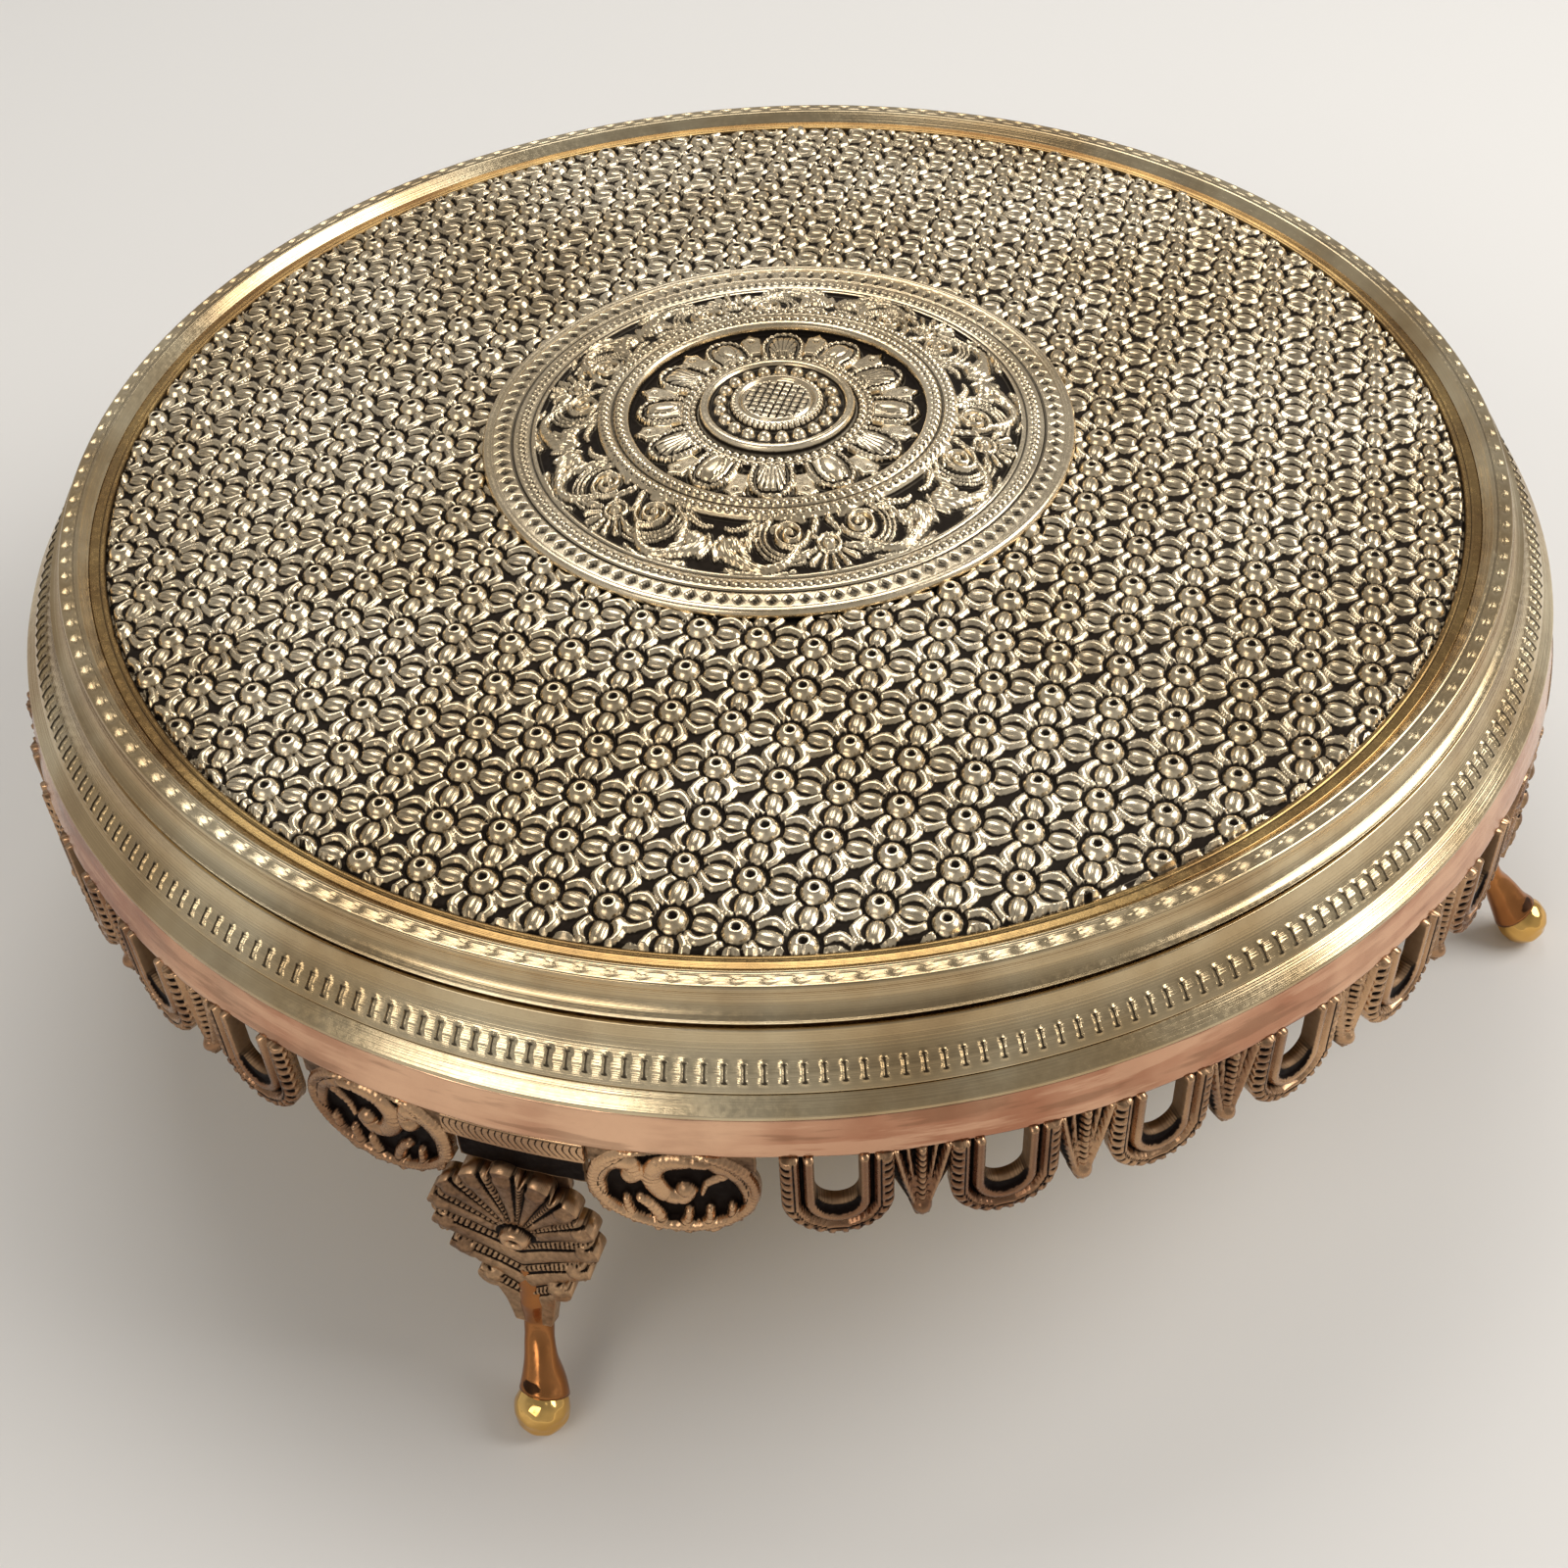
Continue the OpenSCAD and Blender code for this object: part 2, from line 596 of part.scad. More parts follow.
// Cast foot: dark ground between the scroll panels, a bracket, the ribbed palmette with a
// ringed boss and a spine, and a waisted stem that flares into the ball
module foot(i) {
    ground_angle = 2 * asin((foot_gap_half_w - 5 * joint_gap) / wall_r);
    ground_t = 2.2;
    ground_front_r = wall_r - strip_t - joint_gap - 0.2;
    ground_drop = 12;
    bracket_w = 14;
    bracket_drop = 18;
    boss_r = 3.1;
    neck = 0.72 * foot_len;
    root = 0.88 * fan_h;
    front = fan_t / 2;
    bell_h = foot_len - neck - 1;
    bell_w = ball_r - 0.2 - stem_r;
    bell = [for (n = [0:6]) let (t = n / 6) [stem_r + bell_w * pow(t, 1.4), -neck - bell_h * t]];
    ground_r = ground_front_r - ground_t;
    color("chocolate")
        rotate([0, 0, quarter * (i - 1)]) {
            rotate([0, 0, -ground_angle / 2]) rotate_extrude(angle = ground_angle)
                translate([ground_r, z_wall_bottom - ground_drop]) square([ground_t, ground_drop]);
            translate([ground_r, -bracket_w / 2, z_wall_bottom - bracket_drop])
                cube([fan_top_r - ground_r, bracket_w, bracket_drop / 2]);
            translate([fan_top_r, 0, fan_top_z]) rotate([0, -foot_lean, 0]) {
                rotate([90, 0, 90]) {
                    translate([0, 0, -front]) linear_extrude(fan_t) palmette_outline();
                    linear_extrude(front + 1) palmette_ribs();
                    translate([0, boss_y, 0]) cylinder(r = boss_r, h = front + 1.3, $fn = 32);
                    translate([0, boss_y, 0]) cylinder(r = boss_r / 2, h = front + 2.1, $fn = 32);
                }
                translate([0, 0, -root]) cylinder(r1 = stem_r * 1.35, r2 = stem_r * 0.5, h = root + boss_y);
                translate([0, 0, -neck]) cylinder(r1 = stem_r, r2 = stem_r * 1.35, h = neck - root);
                rotate_extrude()
                    polygon(concat([[0, -neck]], bell, [[0, -neck - bell_h]]));
            }
            difference() {
                translate([ball_reach, 0, ball_r - ball_flat]) sphere(r = ball_r);
                translate([0, 0, -far]) cylinder(r = far, h = far);
            }
        }
}

// ---- bowls and spoon ----

// Spun bowl: flat base, round corner, flared wall and a flat-topped rolled rim
module bowl() {
    wall_top_r = bowl_r - 2 * bowl_rim_r + bowl_t;
    corner_w = 0.72 * (wall_top_r - bowl_base_r);
    corner_h = 0.4 * bowl_h;
    rim_flat_r = bowl_r - 0.6 * bowl_rim_r;
    steps = 8;
    turns = [for (i = [0:steps]) 90 * i / steps];
    outer = concat([[0, 0]],
                   [for (a = turns) [bowl_base_r + corner_w * sin(a), corner_h * (1 - cos(a))]],
                   [[wall_top_r, bowl_h - 2 * bowl_rim_r]]);
    rim = [[rim_flat_r, bowl_h - 2 * bowl_rim_r], [bowl_r, bowl_h - 1.4 * bowl_rim_r],
           [bowl_r, bowl_h - 0.6 * bowl_rim_r], [rim_flat_r, bowl_h]];
    inner = concat([[wall_top_r - bowl_t, bowl_h]],
                   [for (i = [steps:-1:0])
                       [bowl_base_r + (corner_w - bowl_t) * sin(turns[i]),
                        corner_h * (1 - cos(turns[i])) + bowl_t * cos(turns[i])]],
                   [[0, bowl_t]]);
    color("gold") rotate_extrude() polygon(concat(outer, rim, inner));
}

module centre_bowl() {
    translate([0, 0, z_pan_floor]) bowl();
}

module side_bowl(i) {
    rotate([0, 0, 360 / side_bowls * (i - 0.5)]) translate([bowl_pitch, 0, z_pan_floor]) bowl();
}

// Spoon that leans in the centre bowl: its round scoop on the bowl's floor, its handle on the
// rim, and its end no higher than the seam, so that the lid closes over it
module spoon() {
    rest = 0.2;
    end_r = handle_w * 0.7;
    overlap = 3;
    scoop_depth = scoop_r * 0.42;
    cap_r = (scoop_r * scoop_r + scoop_depth * scoop_depth) / (2 * scoop_depth);
    scoop_x = scoop_r - bowl_base_r;
    run = bowl_r - 2 * bowl_rim_r - scoop_x;
    rise = bowl_h - bowl_t - cap_r;
    drop = cap_r - scoop_depth + spoon_t;
    lean = asin(drop / norm([run, rise])) + atan2(rise, run);
    z_scoop = z_pan_floor + bowl_t + cap_r + rest;
    handle_l = (z_land - z_scoop + (cap_r - scoop_depth) * cos(lean)) / sin(lean)
               - scoop_r + overlap - end_r;
    color("gold")
        translate([scoop_x, 0, z_scoop])
            rotate([0, -lean, 0]) {
                difference() {
                    sphere(r = cap_r);
                    sphere(r = cap_r - spoon_t);
                    translate([-far / 2, -far / 2, scoop_depth - cap_r]) cube(far);
                }
                translate([scoop_r - overlap, 0, scoop_depth - cap_r - spoon_t]) {
                    translate([0, -handle_w / 2, 0]) cube([handle_l, handle_w, spoon_t]);
                    translate([handle_l, 0, 0]) cylinder(r = end_r, h = spoon_t);
                }
            }
}

nakshi_panel();
medallion_plate();
lotus_rosette();
lid_ring();
lid_collar();
lid_liner();
base_rim();
step_ring();
outer_wall();
pan();
for (i = [1:feet]) gallery(i);
for (i = [1:2 * feet]) scroll_panel(i);
for (i = [1:feet]) hatched_strip(i);
for (i = [1:feet]) foot(i);
centre_bowl();
for (i = [1:side_bowls]) side_bowl(i);
spoon();
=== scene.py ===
"""Looks of a round footed brass spice box: chased lid, turned rim, pierced gallery and cast feet.

Lengths are in millimetres here and become metres where a mesh is made. The box stands on the
floor at z = 0 with its axis on Z, and has a foot on each of +X, +Y, -X and -Y.
"""
import json

import bpy
import numpy as np
from mathutils import Matrix, Vector
from mathutils.bvhtree import BVHTree
from numpy import (arange, arcsin, arctan2, array, clip, column_stack, concatenate, cos, hypot, interp,
                   linspace, maximum, minimum, pi, radians, sin, stack, where)

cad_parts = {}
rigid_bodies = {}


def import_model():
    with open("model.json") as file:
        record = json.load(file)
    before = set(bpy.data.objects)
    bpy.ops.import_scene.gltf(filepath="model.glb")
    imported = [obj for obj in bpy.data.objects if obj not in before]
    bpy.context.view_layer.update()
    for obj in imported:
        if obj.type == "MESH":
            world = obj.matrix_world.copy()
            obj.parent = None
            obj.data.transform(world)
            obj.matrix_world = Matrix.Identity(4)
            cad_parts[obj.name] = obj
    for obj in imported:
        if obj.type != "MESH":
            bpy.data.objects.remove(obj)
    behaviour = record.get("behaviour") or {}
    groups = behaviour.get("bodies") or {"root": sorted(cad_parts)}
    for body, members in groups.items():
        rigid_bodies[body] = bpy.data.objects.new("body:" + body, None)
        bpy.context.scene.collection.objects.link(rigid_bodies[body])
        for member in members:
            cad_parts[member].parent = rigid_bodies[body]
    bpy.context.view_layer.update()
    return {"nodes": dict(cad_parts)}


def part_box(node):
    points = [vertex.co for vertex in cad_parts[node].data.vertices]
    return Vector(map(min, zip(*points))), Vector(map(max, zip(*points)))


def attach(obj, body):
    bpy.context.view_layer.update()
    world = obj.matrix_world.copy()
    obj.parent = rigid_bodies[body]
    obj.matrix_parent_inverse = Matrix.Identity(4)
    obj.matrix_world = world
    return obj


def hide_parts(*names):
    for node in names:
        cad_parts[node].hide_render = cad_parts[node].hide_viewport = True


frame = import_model()
MM = 0.001
TURN = 2 * pi
PLAIN_COLUMNS = 720           # columns of points round a plain turned piece


# ---- sizes

def reach(node):
    """Radius, bottom and top of a round CAD node, in millimetres."""
    low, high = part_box(node)
    return high.x / MM, low.z / MM, high.z / MM


SEAM_R, Z_RING, Z_TOP = reach("lid_ring")
PANEL_R, _, Z_CROWN = reach("nakshi_panel")
MEDAL_R, _, _ = reach("medallion_plate")
RIM_R, Z_STEP_TOP, Z_LAND = reach("base_rim")
STEP_R, _, _ = reach("step_ring")
WALL_R, Z_WALL, _ = reach("outer_wall")
FOOT_REACH, _, _ = reach("foot_1")

COVE_OUT = 2.8
LID_R = SEAM_R - COVE_OUT     # outer edge of the ring's flat top
RING_TOP_W = 3.4
SHEET = 1.0                   # thickness of the repousse panel
Z_PANEL = Z_TOP - 2.0         # the panel's edge
LEDGE_R = PANEL_R - 2.5       # the ring's ledge under the panel
DOME_R = PANEL_R - 4.0
DOME_H = Z_CROWN - Z_PANEL
BORE_R = PANEL_R - 0.6
MILLED_R, Z_MILLED = SEAM_R + 3.5, Z_LAND - 5.9
Z_STEP_EDGE = Z_STEP_TOP - 2.7
PLATE_T = 2.4                 # thickness of the castings' ground
BALL_R, BALL_FLAT = 5.0, 0.2
FEET = 4
QUARTER = TURN / FEET


# ---- camera and image points

IMAGE_W = IMAGE_H = 1568
LONG_SIDE = max(IMAGE_W, IMAGE_H)
CAMERA_AT = Vector((0.1038, -0.3133, 0.3346))
YAW, PITCH, ROLL = radians((-18.80, 44.88, -3.18))
LENS, SENSOR = 47.25, 36.0
SHIFT_X = SHIFT_Y = 0.0

POINTS = {
    "left": (24.5, None), "right": (1559.9, None), "top": (None, 104.9), "bottom": (None, 1436.2),
    "front_ball": (542.3, 1406.3), "right_ball": (1521.6, 919.3), "front_boss": (512.8, 1242.7),
    "rosette": (776.7, 398.6),
    "medallion_left": (482.3, None), "medallion_right": (1076.1, None), "medallion_bottom": (None, 619.9),
    "lattice_a": (728.9, 717.1), "lattice_b": (495.0, 677.2), "lattice_c": (1316.3, 539.6),
    "flower": (829.6, 545.5), "petal": (771.1, 484.1),
}


def add(name, data):
    """New object in the scene."""
    thing = bpy.data.objects.new(name, data)
    bpy.context.scene.collection.objects.link(thing)
    return thing


def make_camera():
    """Camera at the photograph's place."""
    data = bpy.data.cameras.new("camera")
    data.lens, data.sensor_width, data.sensor_fit = LENS, SENSOR, "AUTO"
    data.shift_x, data.shift_y = SHIFT_X, SHIFT_Y
    data.clip_start, data.clip_end = 0.01, 50.0
    ahead = Vector((sin(YAW) * cos(PITCH), cos(YAW) * cos(PITCH), -sin(PITCH)))
    right = Vector((cos(YAW), -sin(YAW), 0.0))
    up = right.cross(ahead)
    side, head = right * cos(ROLL) + up * sin(ROLL), up * cos(ROLL) - right * sin(ROLL)
    camera = add("camera", data)
    camera.matrix_world = Matrix.Translation(CAMERA_AT) @ Matrix((side, head, -ahead)).transposed().to_4x4()
    bpy.context.scene.camera = camera
    return camera


CAMERA = make_camera()


def image_ray(x, y):
    """Direction in the world of the ray through an image point."""
    local = Vector((x - IMAGE_W / 2 + SHIFT_X * LONG_SIDE, IMAGE_H / 2 - y + SHIFT_Y * LONG_SIDE,
                    -LONG_SIDE * LENS / SENSOR))
    return (CAMERA.matrix_world.to_3x3() @ local).normalized()


def on_image(points):
    """Image x and y of points given in millimetres, one row each."""
    inverse = array(CAMERA.matrix_world.inverted())
    local = np.asarray(points, float).reshape(-1, 3) * MM @ inverse[:3, :3].T + inverse[:3, 3]
    scale = LONG_SIDE * LENS / SENSOR / -local[:, 2]
    return stack([IMAGE_W / 2 - SHIFT_X * LONG_SIDE + local[:, 0] * scale,
                  IMAGE_H / 2 + SHIFT_Y * LONG_SIDE - local[:, 1] * scale], -1)


def place(name, tree):
    """Where a named image point's ray meets a surface; a miss takes the place nearest the ray."""
    ray = image_ray(*POINTS[name])
    hit = tree.ray_cast(CAMERA_AT, ray)[0]
    if hit is None:
        steps = (CAMERA_AT + ray * (0.2 + 0.002 * k) for k in range(400))
        hit = min((tree.find_nearest(p) for p in steps), key=lambda found: found[3])[0]
    return array(hit) / MM


# ---- mesh helpers

LID_NODES = ("lid_ring", "nakshi_panel", "medallion_plate", "lotus_rosette")


def make_object(node, part, look, points, faces, **attributes):
    """Mesh object in place of a CAD node, from points in millimetres and a list of face arrays;
    attributes are point values."""
    mesh = bpy.data.meshes.new(f"{node}_{part}")
    mesh.vertices.add(len(points))
    mesh.vertices.foreach_set("co", (points * MM).ravel())
    corners = concatenate([f.ravel() for f in faces])
    sizes = concatenate([np.full(len(f), f.shape[1]) for f in faces])
    mesh.loops.add(len(corners))
    mesh.loops.foreach_set("vertex_index", corners)
    mesh.polygons.add(len(sizes))
    mesh.polygons.foreach_set("loop_start", concatenate([[0], np.cumsum(sizes)[:-1]]))
    mesh.polygons.foreach_set("use_smooth", np.ones(len(sizes), bool))
    mesh.update(calc_edges=True)
    for key, values in attributes.items():
        layer = mesh.attributes.new(key, "FLOAT", "POINT")
        layer.data.foreach_set("value", values.ravel().astype(np.float32))
    mesh.materials.append(look)
    piece = add(mesh.name, mesh)
    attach(piece, "lid" if node in LID_NODES else "base")
    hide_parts(node)
    return piece


def vertices(piece):
    """A piece's points, in millimetres."""
    points = np.empty(len(piece.data.vertices) * 3)
    piece.data.vertices.foreach_get("co", points)
    return points.reshape(-1, 3) / MM


def unit(value):
    """Value held between 0 and 1."""
    return clip(value, 0, 1)


def smooth(value, low, high):
    """0 below low, 1 above high, and an even curve between."""
    t = unit((value - low) / (high - low))
    return t * t * (3 - 2 * t)


def arch(share):
    """Round rise from 0 to 1 as share goes from 0 to 1."""
    return np.sqrt(unit(share))


def ridge(distance, half_width, height):
    """Round ridge over a line, from the distance to it."""
    return height * arch(1 - (distance / half_width) ** 2)


def folded(value, pitch, first=0.0):
    """How far a value is from the nearest of the places that lie a pitch apart from first on."""
    return (value - first + pitch / 2) % pitch - pitch / 2


def unit_rows(vectors):
    """Vectors, one a row, at length 1."""
    return vectors / maximum(np.linalg.norm(vectors, axis=1), 1e-9)[:, None]


def polar(radius, angle, z):
    """Points from cylinder coordinates."""
    return stack([radius * cos(angle), radius * sin(angle), z + 0 * radius], -1)


def at_side(r, x, z, angle):
    """Points from a distance r out and x across, in the upright plane at an angle round Z."""
    c, s = cos(angle), sin(angle)
    return stack([r * c - x * s, r * s + x * c, z + 0 * r], -1)


def round_grid(radii, columns):
    """Radii and angles of a grid with a row for each radius and a column for each step round."""
    return np.meshgrid(radii, arange(columns) * TURN / columns, indexing="ij")


def grid_faces(rows, columns, closed=True, ring=False):
    """Quads of a grid numbered row by row. closed joins its last column to the first, ring its rows."""
    row = arange(rows if ring else rows - 1)[:, None] * columns
    c = arange(columns if closed else columns - 1)
    above, n = (row + columns) % (rows * columns), (c + 1) % columns
    return stack([row + c, row + n, above + n, above + c], -1).reshape(-1, 4)


def rounded(corners, spacing=0.5):
    """Closed outline with round corners (r, z, fillet radius) and a point about every spacing."""
    corners = array(corners, float)
    outline = []
    for k, (*here, fillet) in enumerate(corners):
        ways = [corners[j % len(corners), :2] - here for j in (k - 1, k + 1)]
        lengths = [np.linalg.norm(way) for way in ways]
        back, ahead = (way / length for way, length in zip(ways, lengths))
        half = np.arccos(clip(back @ ahead, -1, 1)) / 2
        here = array(here)
        if fillet <= 0 or half > radians(88):
            outline.append(here)
            continue
        cut = min(fillet / np.tan(half), 0.45 * min(lengths))
        start, end = here + back * cut, here + ahead * cut
        outline += [(1 - t) ** 2 * start + 2 * t * (1 - t) * here + t * t * end for t in arange(6) / 5]
    dense = []
    for a, b in zip(outline, outline[1:] + outline[:1]):
        n = max(1, int(np.linalg.norm(b - a) / spacing))
        dense += [a + (b - a) * i / n for i in range(n)]
    return array(dense)


def turned(node, part, look, outline, columns, relief):
    """Turned piece from an outline that runs anticlockwise in (r, z). relief gives how far each
    point moves along the normal and how dark its recess is."""
    ahead = np.roll(outline, -1, 0) - np.roll(outline, 1, 0)
    normal = unit_rows(stack([ahead[:, 1], -ahead[:, 0]], -1))
    r, a = round_grid(outline[:, 0], columns)
    z = outline[:, 1:] + 0 * a
    push, recess = relief(r, z, a)
    points = polar(r + push * normal[:, :1], a, z + push * normal[:, 1:]).reshape(-1, 3)
    return make_object(node, part, look, points, [grid_faces(*r.shape, ring=True)], recess=recess)


def border_edges(faces):
    """Edges that only one face has, as pairs of points in that face's order."""
    edges = concatenate([faces[:, [k, (k + 1) % 4]] for k in range(4)])
    low, high = edges.min(1), edges.max(1)
    _, first, count = np.unique(low * (high.max() + 1) + high, return_index=True, return_counts=True)
    return edges[first[count == 1]]


def clipped_grid(x, y, outline):
    """Points and quads of a flat grid inside an outline, its border moved onto the outline, which
    gives the distance to itself, less than 0 inside."""
    faces = grid_faces(*x.shape, closed=False)
    flat = stack([x.ravel(), y.ravel()], -1)
    faces = faces[outline(*flat[faces].mean(1).T) < 0]
    used, faces = np.unique(faces, return_inverse=True)
    faces = faces.reshape(-1, 4)
    flat = flat[used]
    border = np.unique(border_edges(faces))
    step = 0.05
    for _ in range(3):
        px, py = flat[border].T
        slope = unit_rows(stack([outline(px + step, py) - outline(px - step, py),
                                 outline(px, py + step) - outline(px, py - step)], -1))
        flat[border] -= slope * clip(outline(px, py), -0.5, 0.5)[:, None]
    return flat, faces


def plate(node, part, half_w, depth, outline, relief, set_in, step=0.35, top=0.0):
    """Flat casting that reaches half_w to both sides and depth down. relief gives the front's
    height over the back and its recess; set_in carries (x, y, height) to the object's place."""
    x, y = np.meshgrid(linspace(-half_w, half_w, int(2 * half_w / step) + 1),
                       linspace(-depth, top, int((top + depth) / step) + 1))
    flat, faces = clipped_grid(x, y, outline)
    height, recess = relief(*flat.T)
    n = len(flat)
    edges = border_edges(faces)
    walls = column_stack([edges[:, ::-1], edges + n])
    points = set_in(concatenate([column_stack([flat, height]), column_stack([flat, 0 * height])]))
    make_object(node, part, CAST, points, [faces, faces[:, ::-1] + n, walls],
                recess=concatenate([recess, maximum(recess, 0.55)]))


def shade_of(recess):
    """Recess of a casting, held within what the material uses."""
    return clip(recess, -0.3, 1.1)


def slab(half_w, depth):
    """Outline of an oblong that hangs from y = 0."""
    return lambda x, y: maximum(abs(x) - half_w, maximum(-y - depth, y))


def strokes(x, y, lines):
    """Height of round strokes (points, half widths, height), and the length along the highest."""
    height, length = np.zeros_like(x), np.zeros_like(x)
    for points, widths, top in lines:
        widths = np.broadcast_to(widths, len(points))
        run = concatenate([[0], np.cumsum(np.linalg.norm(np.diff(points, axis=0), axis=1))])
        low, high = points.min(0) - widths.max(), points.max(0) + widths.max()
        near = np.flatnonzero((x > low[0]) & (x < high[0]) & (y > low[1]) & (y < high[1]))
        best, at = np.zeros(len(near)), np.zeros(len(near))
        for (px, py), w, s in zip(points, widths, run):
            here = top * arch(1 - ((x[near] - px) ** 2 + (y[near] - py) ** 2) / (w * w))
            at = where(here > best, s, at)
            best = maximum(best, here)
        length[near] = where(best > height[near], at, length[near])
        height[near] = maximum(height[near], best)
    return height, length


def spiral(cx, cy, r0, r1, a0, a1, n):
    """Points of a spiral from radius r0 at angle a0 (degrees) to radius r1 at angle a1."""
    t = linspace(0, 1, n)
    r, a = r0 + (r1 - r0) * t, radians(a0 + (a1 - a0) * t)
    return stack([cx + r * cos(a), cy + r * sin(a)], -1)


def bend(*anchors, n=24):
    """Smooth curve through anchors (Catmull-Rom)."""
    p = array([anchors[0], *anchors, anchors[-1]], float)
    t = linspace(0, 1, n // (len(anchors) - 1))[:, None]
    return concatenate([0.5 * (2 * b + (c - a) * t + (2 * a - 5 * b + 4 * c - d) * t ** 2
                               + (3 * b - a - 3 * c + d) * t ** 3)
                        for a, b, c, d in zip(p, p[1:], p[2:], p[3:])])


def taper(anchors, first, last, height):
    """Stroke along a bend, with its half width at both ends."""
    points = bend(*anchors)
    return points, linspace(first, last, len(points)), height


def dot(x, y, radius, height):
    """Round drop, as a stroke of one point."""
    return array([[x, y]]), radius, height


# ---- materials

class Graph:
    """Short calls for the node tree of a material or a world."""

    def __init__(self, owner):
        owner.use_nodes = True
        self.tree = owner.node_tree

    def node(self, kind, links=None, **settings):
        node = self.tree.nodes.new(kind)
        for key, value in settings.items():
            setattr(node, key, value)
        for socket, value in (links or {}).items():
            self.put(node.inputs[socket], value)
        return node

    def put(self, socket, value):
        if isinstance(value, bpy.types.NodeSocket):
            self.tree.links.new(value, socket)
        else:
            socket.default_value = value

    def math(self, operation, a, b=0.0, clamp=False):
        return self.node("ShaderNodeMath", {0: a, 1: b}, operation=operation, use_clamp=clamp).outputs[0]

    def mix(self, share, a, b):
        return self.node("ShaderNodeMix", {0: share, 6: a, 7: b}, data_type="RGBA").outputs[2]

    def between(self, value, low, high, to_low=0.0, to_high=1.0):
        return self.node("ShaderNodeMapRange", {0: value, 1: low, 2: high, 3: to_low, 4: to_high},
                         interpolation_type="SMOOTHSTEP").outputs[0]

    def noise(self, vector, scale, detail=3.0, roughness=0.6):
        return self.node("ShaderNodeTexNoise", {"Vector": vector, "Scale": scale, "Detail": detail,
                                                "Roughness": roughness}).outputs["Fac"]

    def attribute(self, name):
        return self.node("ShaderNodeAttribute", attribute_name=name).outputs["Fac"]


def rgb(*colour):
    """Linear colour from sRGB values of 0 to 255."""
    shares = (v / 255 for v in colour)
    return (*(v / 12.92 if v <= 0.04045 else ((v + 0.055) / 1.055) ** 2.4 for v in shares), 1.0)


BLACK_PATINA, BROWN_PATINA = rgb(22, 16, 15), rgb(104, 76, 54)
VEIN_PITCH = 0.62             # between the engraved lines on a petal's core


def brass(name, colour, worn, rough=0.18, grime=0.22, dark=0.9, grain=0.12, turning=0.0, spots=0.0,
          edge=0.2, sheen_streaks=0.0):
    """Brass with two tones, brown grime, black recesses, fine marks and painted reflection streaks. dark is how black
    a recess goes, grain the depth of fine dents, turning that of the lathe's lines, spots how much black
    tarnish there is, edge how bright edges are rubbed, and the last argument how strong the painted reflection
    streaks on a wall are: level bands painted lighter and darker that also bump the surface."""
    material = bpy.data.materials.new(name)
    g = Graph(material)
    shader = g.tree.nodes["Principled BSDF"].inputs
    at = g.node("ShaderNodeTexCoord").outputs["Object"]
    patch, fine = g.noise(at, 70.0, 5.0), g.noise(at, 900.0)
    base = g.mix(g.between(g.noise(at, 22.0, 4.0, 0.55), 0.35, 0.65), rgb(*colour), rgb(*worn))
    grimy = g.math("MULTIPLY", g.between(patch, 0.45, 0.75), grime, clamp=True)
    base = g.mix(grimy, base, BROWN_PATINA)
    ragged = g.math("ADD", g.attribute("recess"), g.math("MULTIPLY", g.math("SUBTRACT", fine, 0.5), 0.35))
    black = g.math("MULTIPLY", g.between(ragged, 0.30, 0.80), dark, clamp=True)
    veins = g.math("SINE", g.math("MULTIPLY", g.attribute("vein"), TURN / VEIN_PITCH))
    scratch = g.math("MULTIPLY", g.between(veins, 0.35, 0.95, 0.0, 0.62), g.attribute("core"))
    black = g.math("MAXIMUM", black, scratch)
    if spots:
        tarnish = g.math("MULTIPLY", g.between(g.noise(at, 45.0, 6.0, 0.7), 0.60, 0.70), spots)
        black = g.math("MAXIMUM", black, tarnish)
    base = g.mix(black, base, BLACK_PATINA)
    marks = g.math("MULTIPLY", g.math("ADD", fine, g.math("MULTIPLY", patch, 1.5)), grain)
    if turning:
        split = g.node("ShaderNodeSeparateXYZ", {0: at}).outputs
        squares = (g.math("POWER", split[k], 2.0) for k in (0, 1))
        radius = g.math("POWER", g.math("ADD", *squares), 0.5)
        across = g.node("ShaderNodeCombineXYZ", {0: radius, 1: split[2]}).outputs[0]
        marks = g.math("ADD", marks, g.math("MULTIPLY", g.noise(across, 2600.0, 2.0, 0.7), turning))
    # Painted reflection: level streaks mixed lighter and darker over the base colour stand for reflected light on the
    # wall; they also bump the surface.
    if sheen_streaks:
        level = g.node("ShaderNodeMapping", {"Vector": at, "Scale": (0.10, 0.10, 1.0)}).outputs[0]
        sheen_streak = g.noise(level, 330.0, 4.0)
        base = g.mix(g.between(sheen_streak, 0.50, 0.60, 0.0, 0.7 * sheen_streaks), base, rgb(*worn))
        base = g.mix(g.between(sheen_streak, 0.38, 0.46, 0.5 * sheen_streaks, 0.0), base, BROWN_PATINA)
        marks = g.math("ADD", marks, g.math("MULTIPLY", sheen_streak, sheen_streaks))
    if edge:
        point = g.node("ShaderNodeNewGeometry").outputs["Pointiness"]
        base = g.mix(g.between(point, 0.52, 0.60, 0.0, edge), base, rgb(*worn))
    g.put(shader["Base Color"], base)
    shader["Metallic"].default_value = 1.0
    shine = g.between(fine, 0.3, 0.7, rough - 0.05, rough + 0.08)
    g.put(shader["Roughness"], g.math("ADD", shine, g.math("MULTIPLY", black, 0.35)))
    bump = g.node("ShaderNodeBump", {"Height": marks, "Strength": 0.35, "Distance": 0.0003})
    g.put(shader["Normal"], bump.outputs[0])
    return material


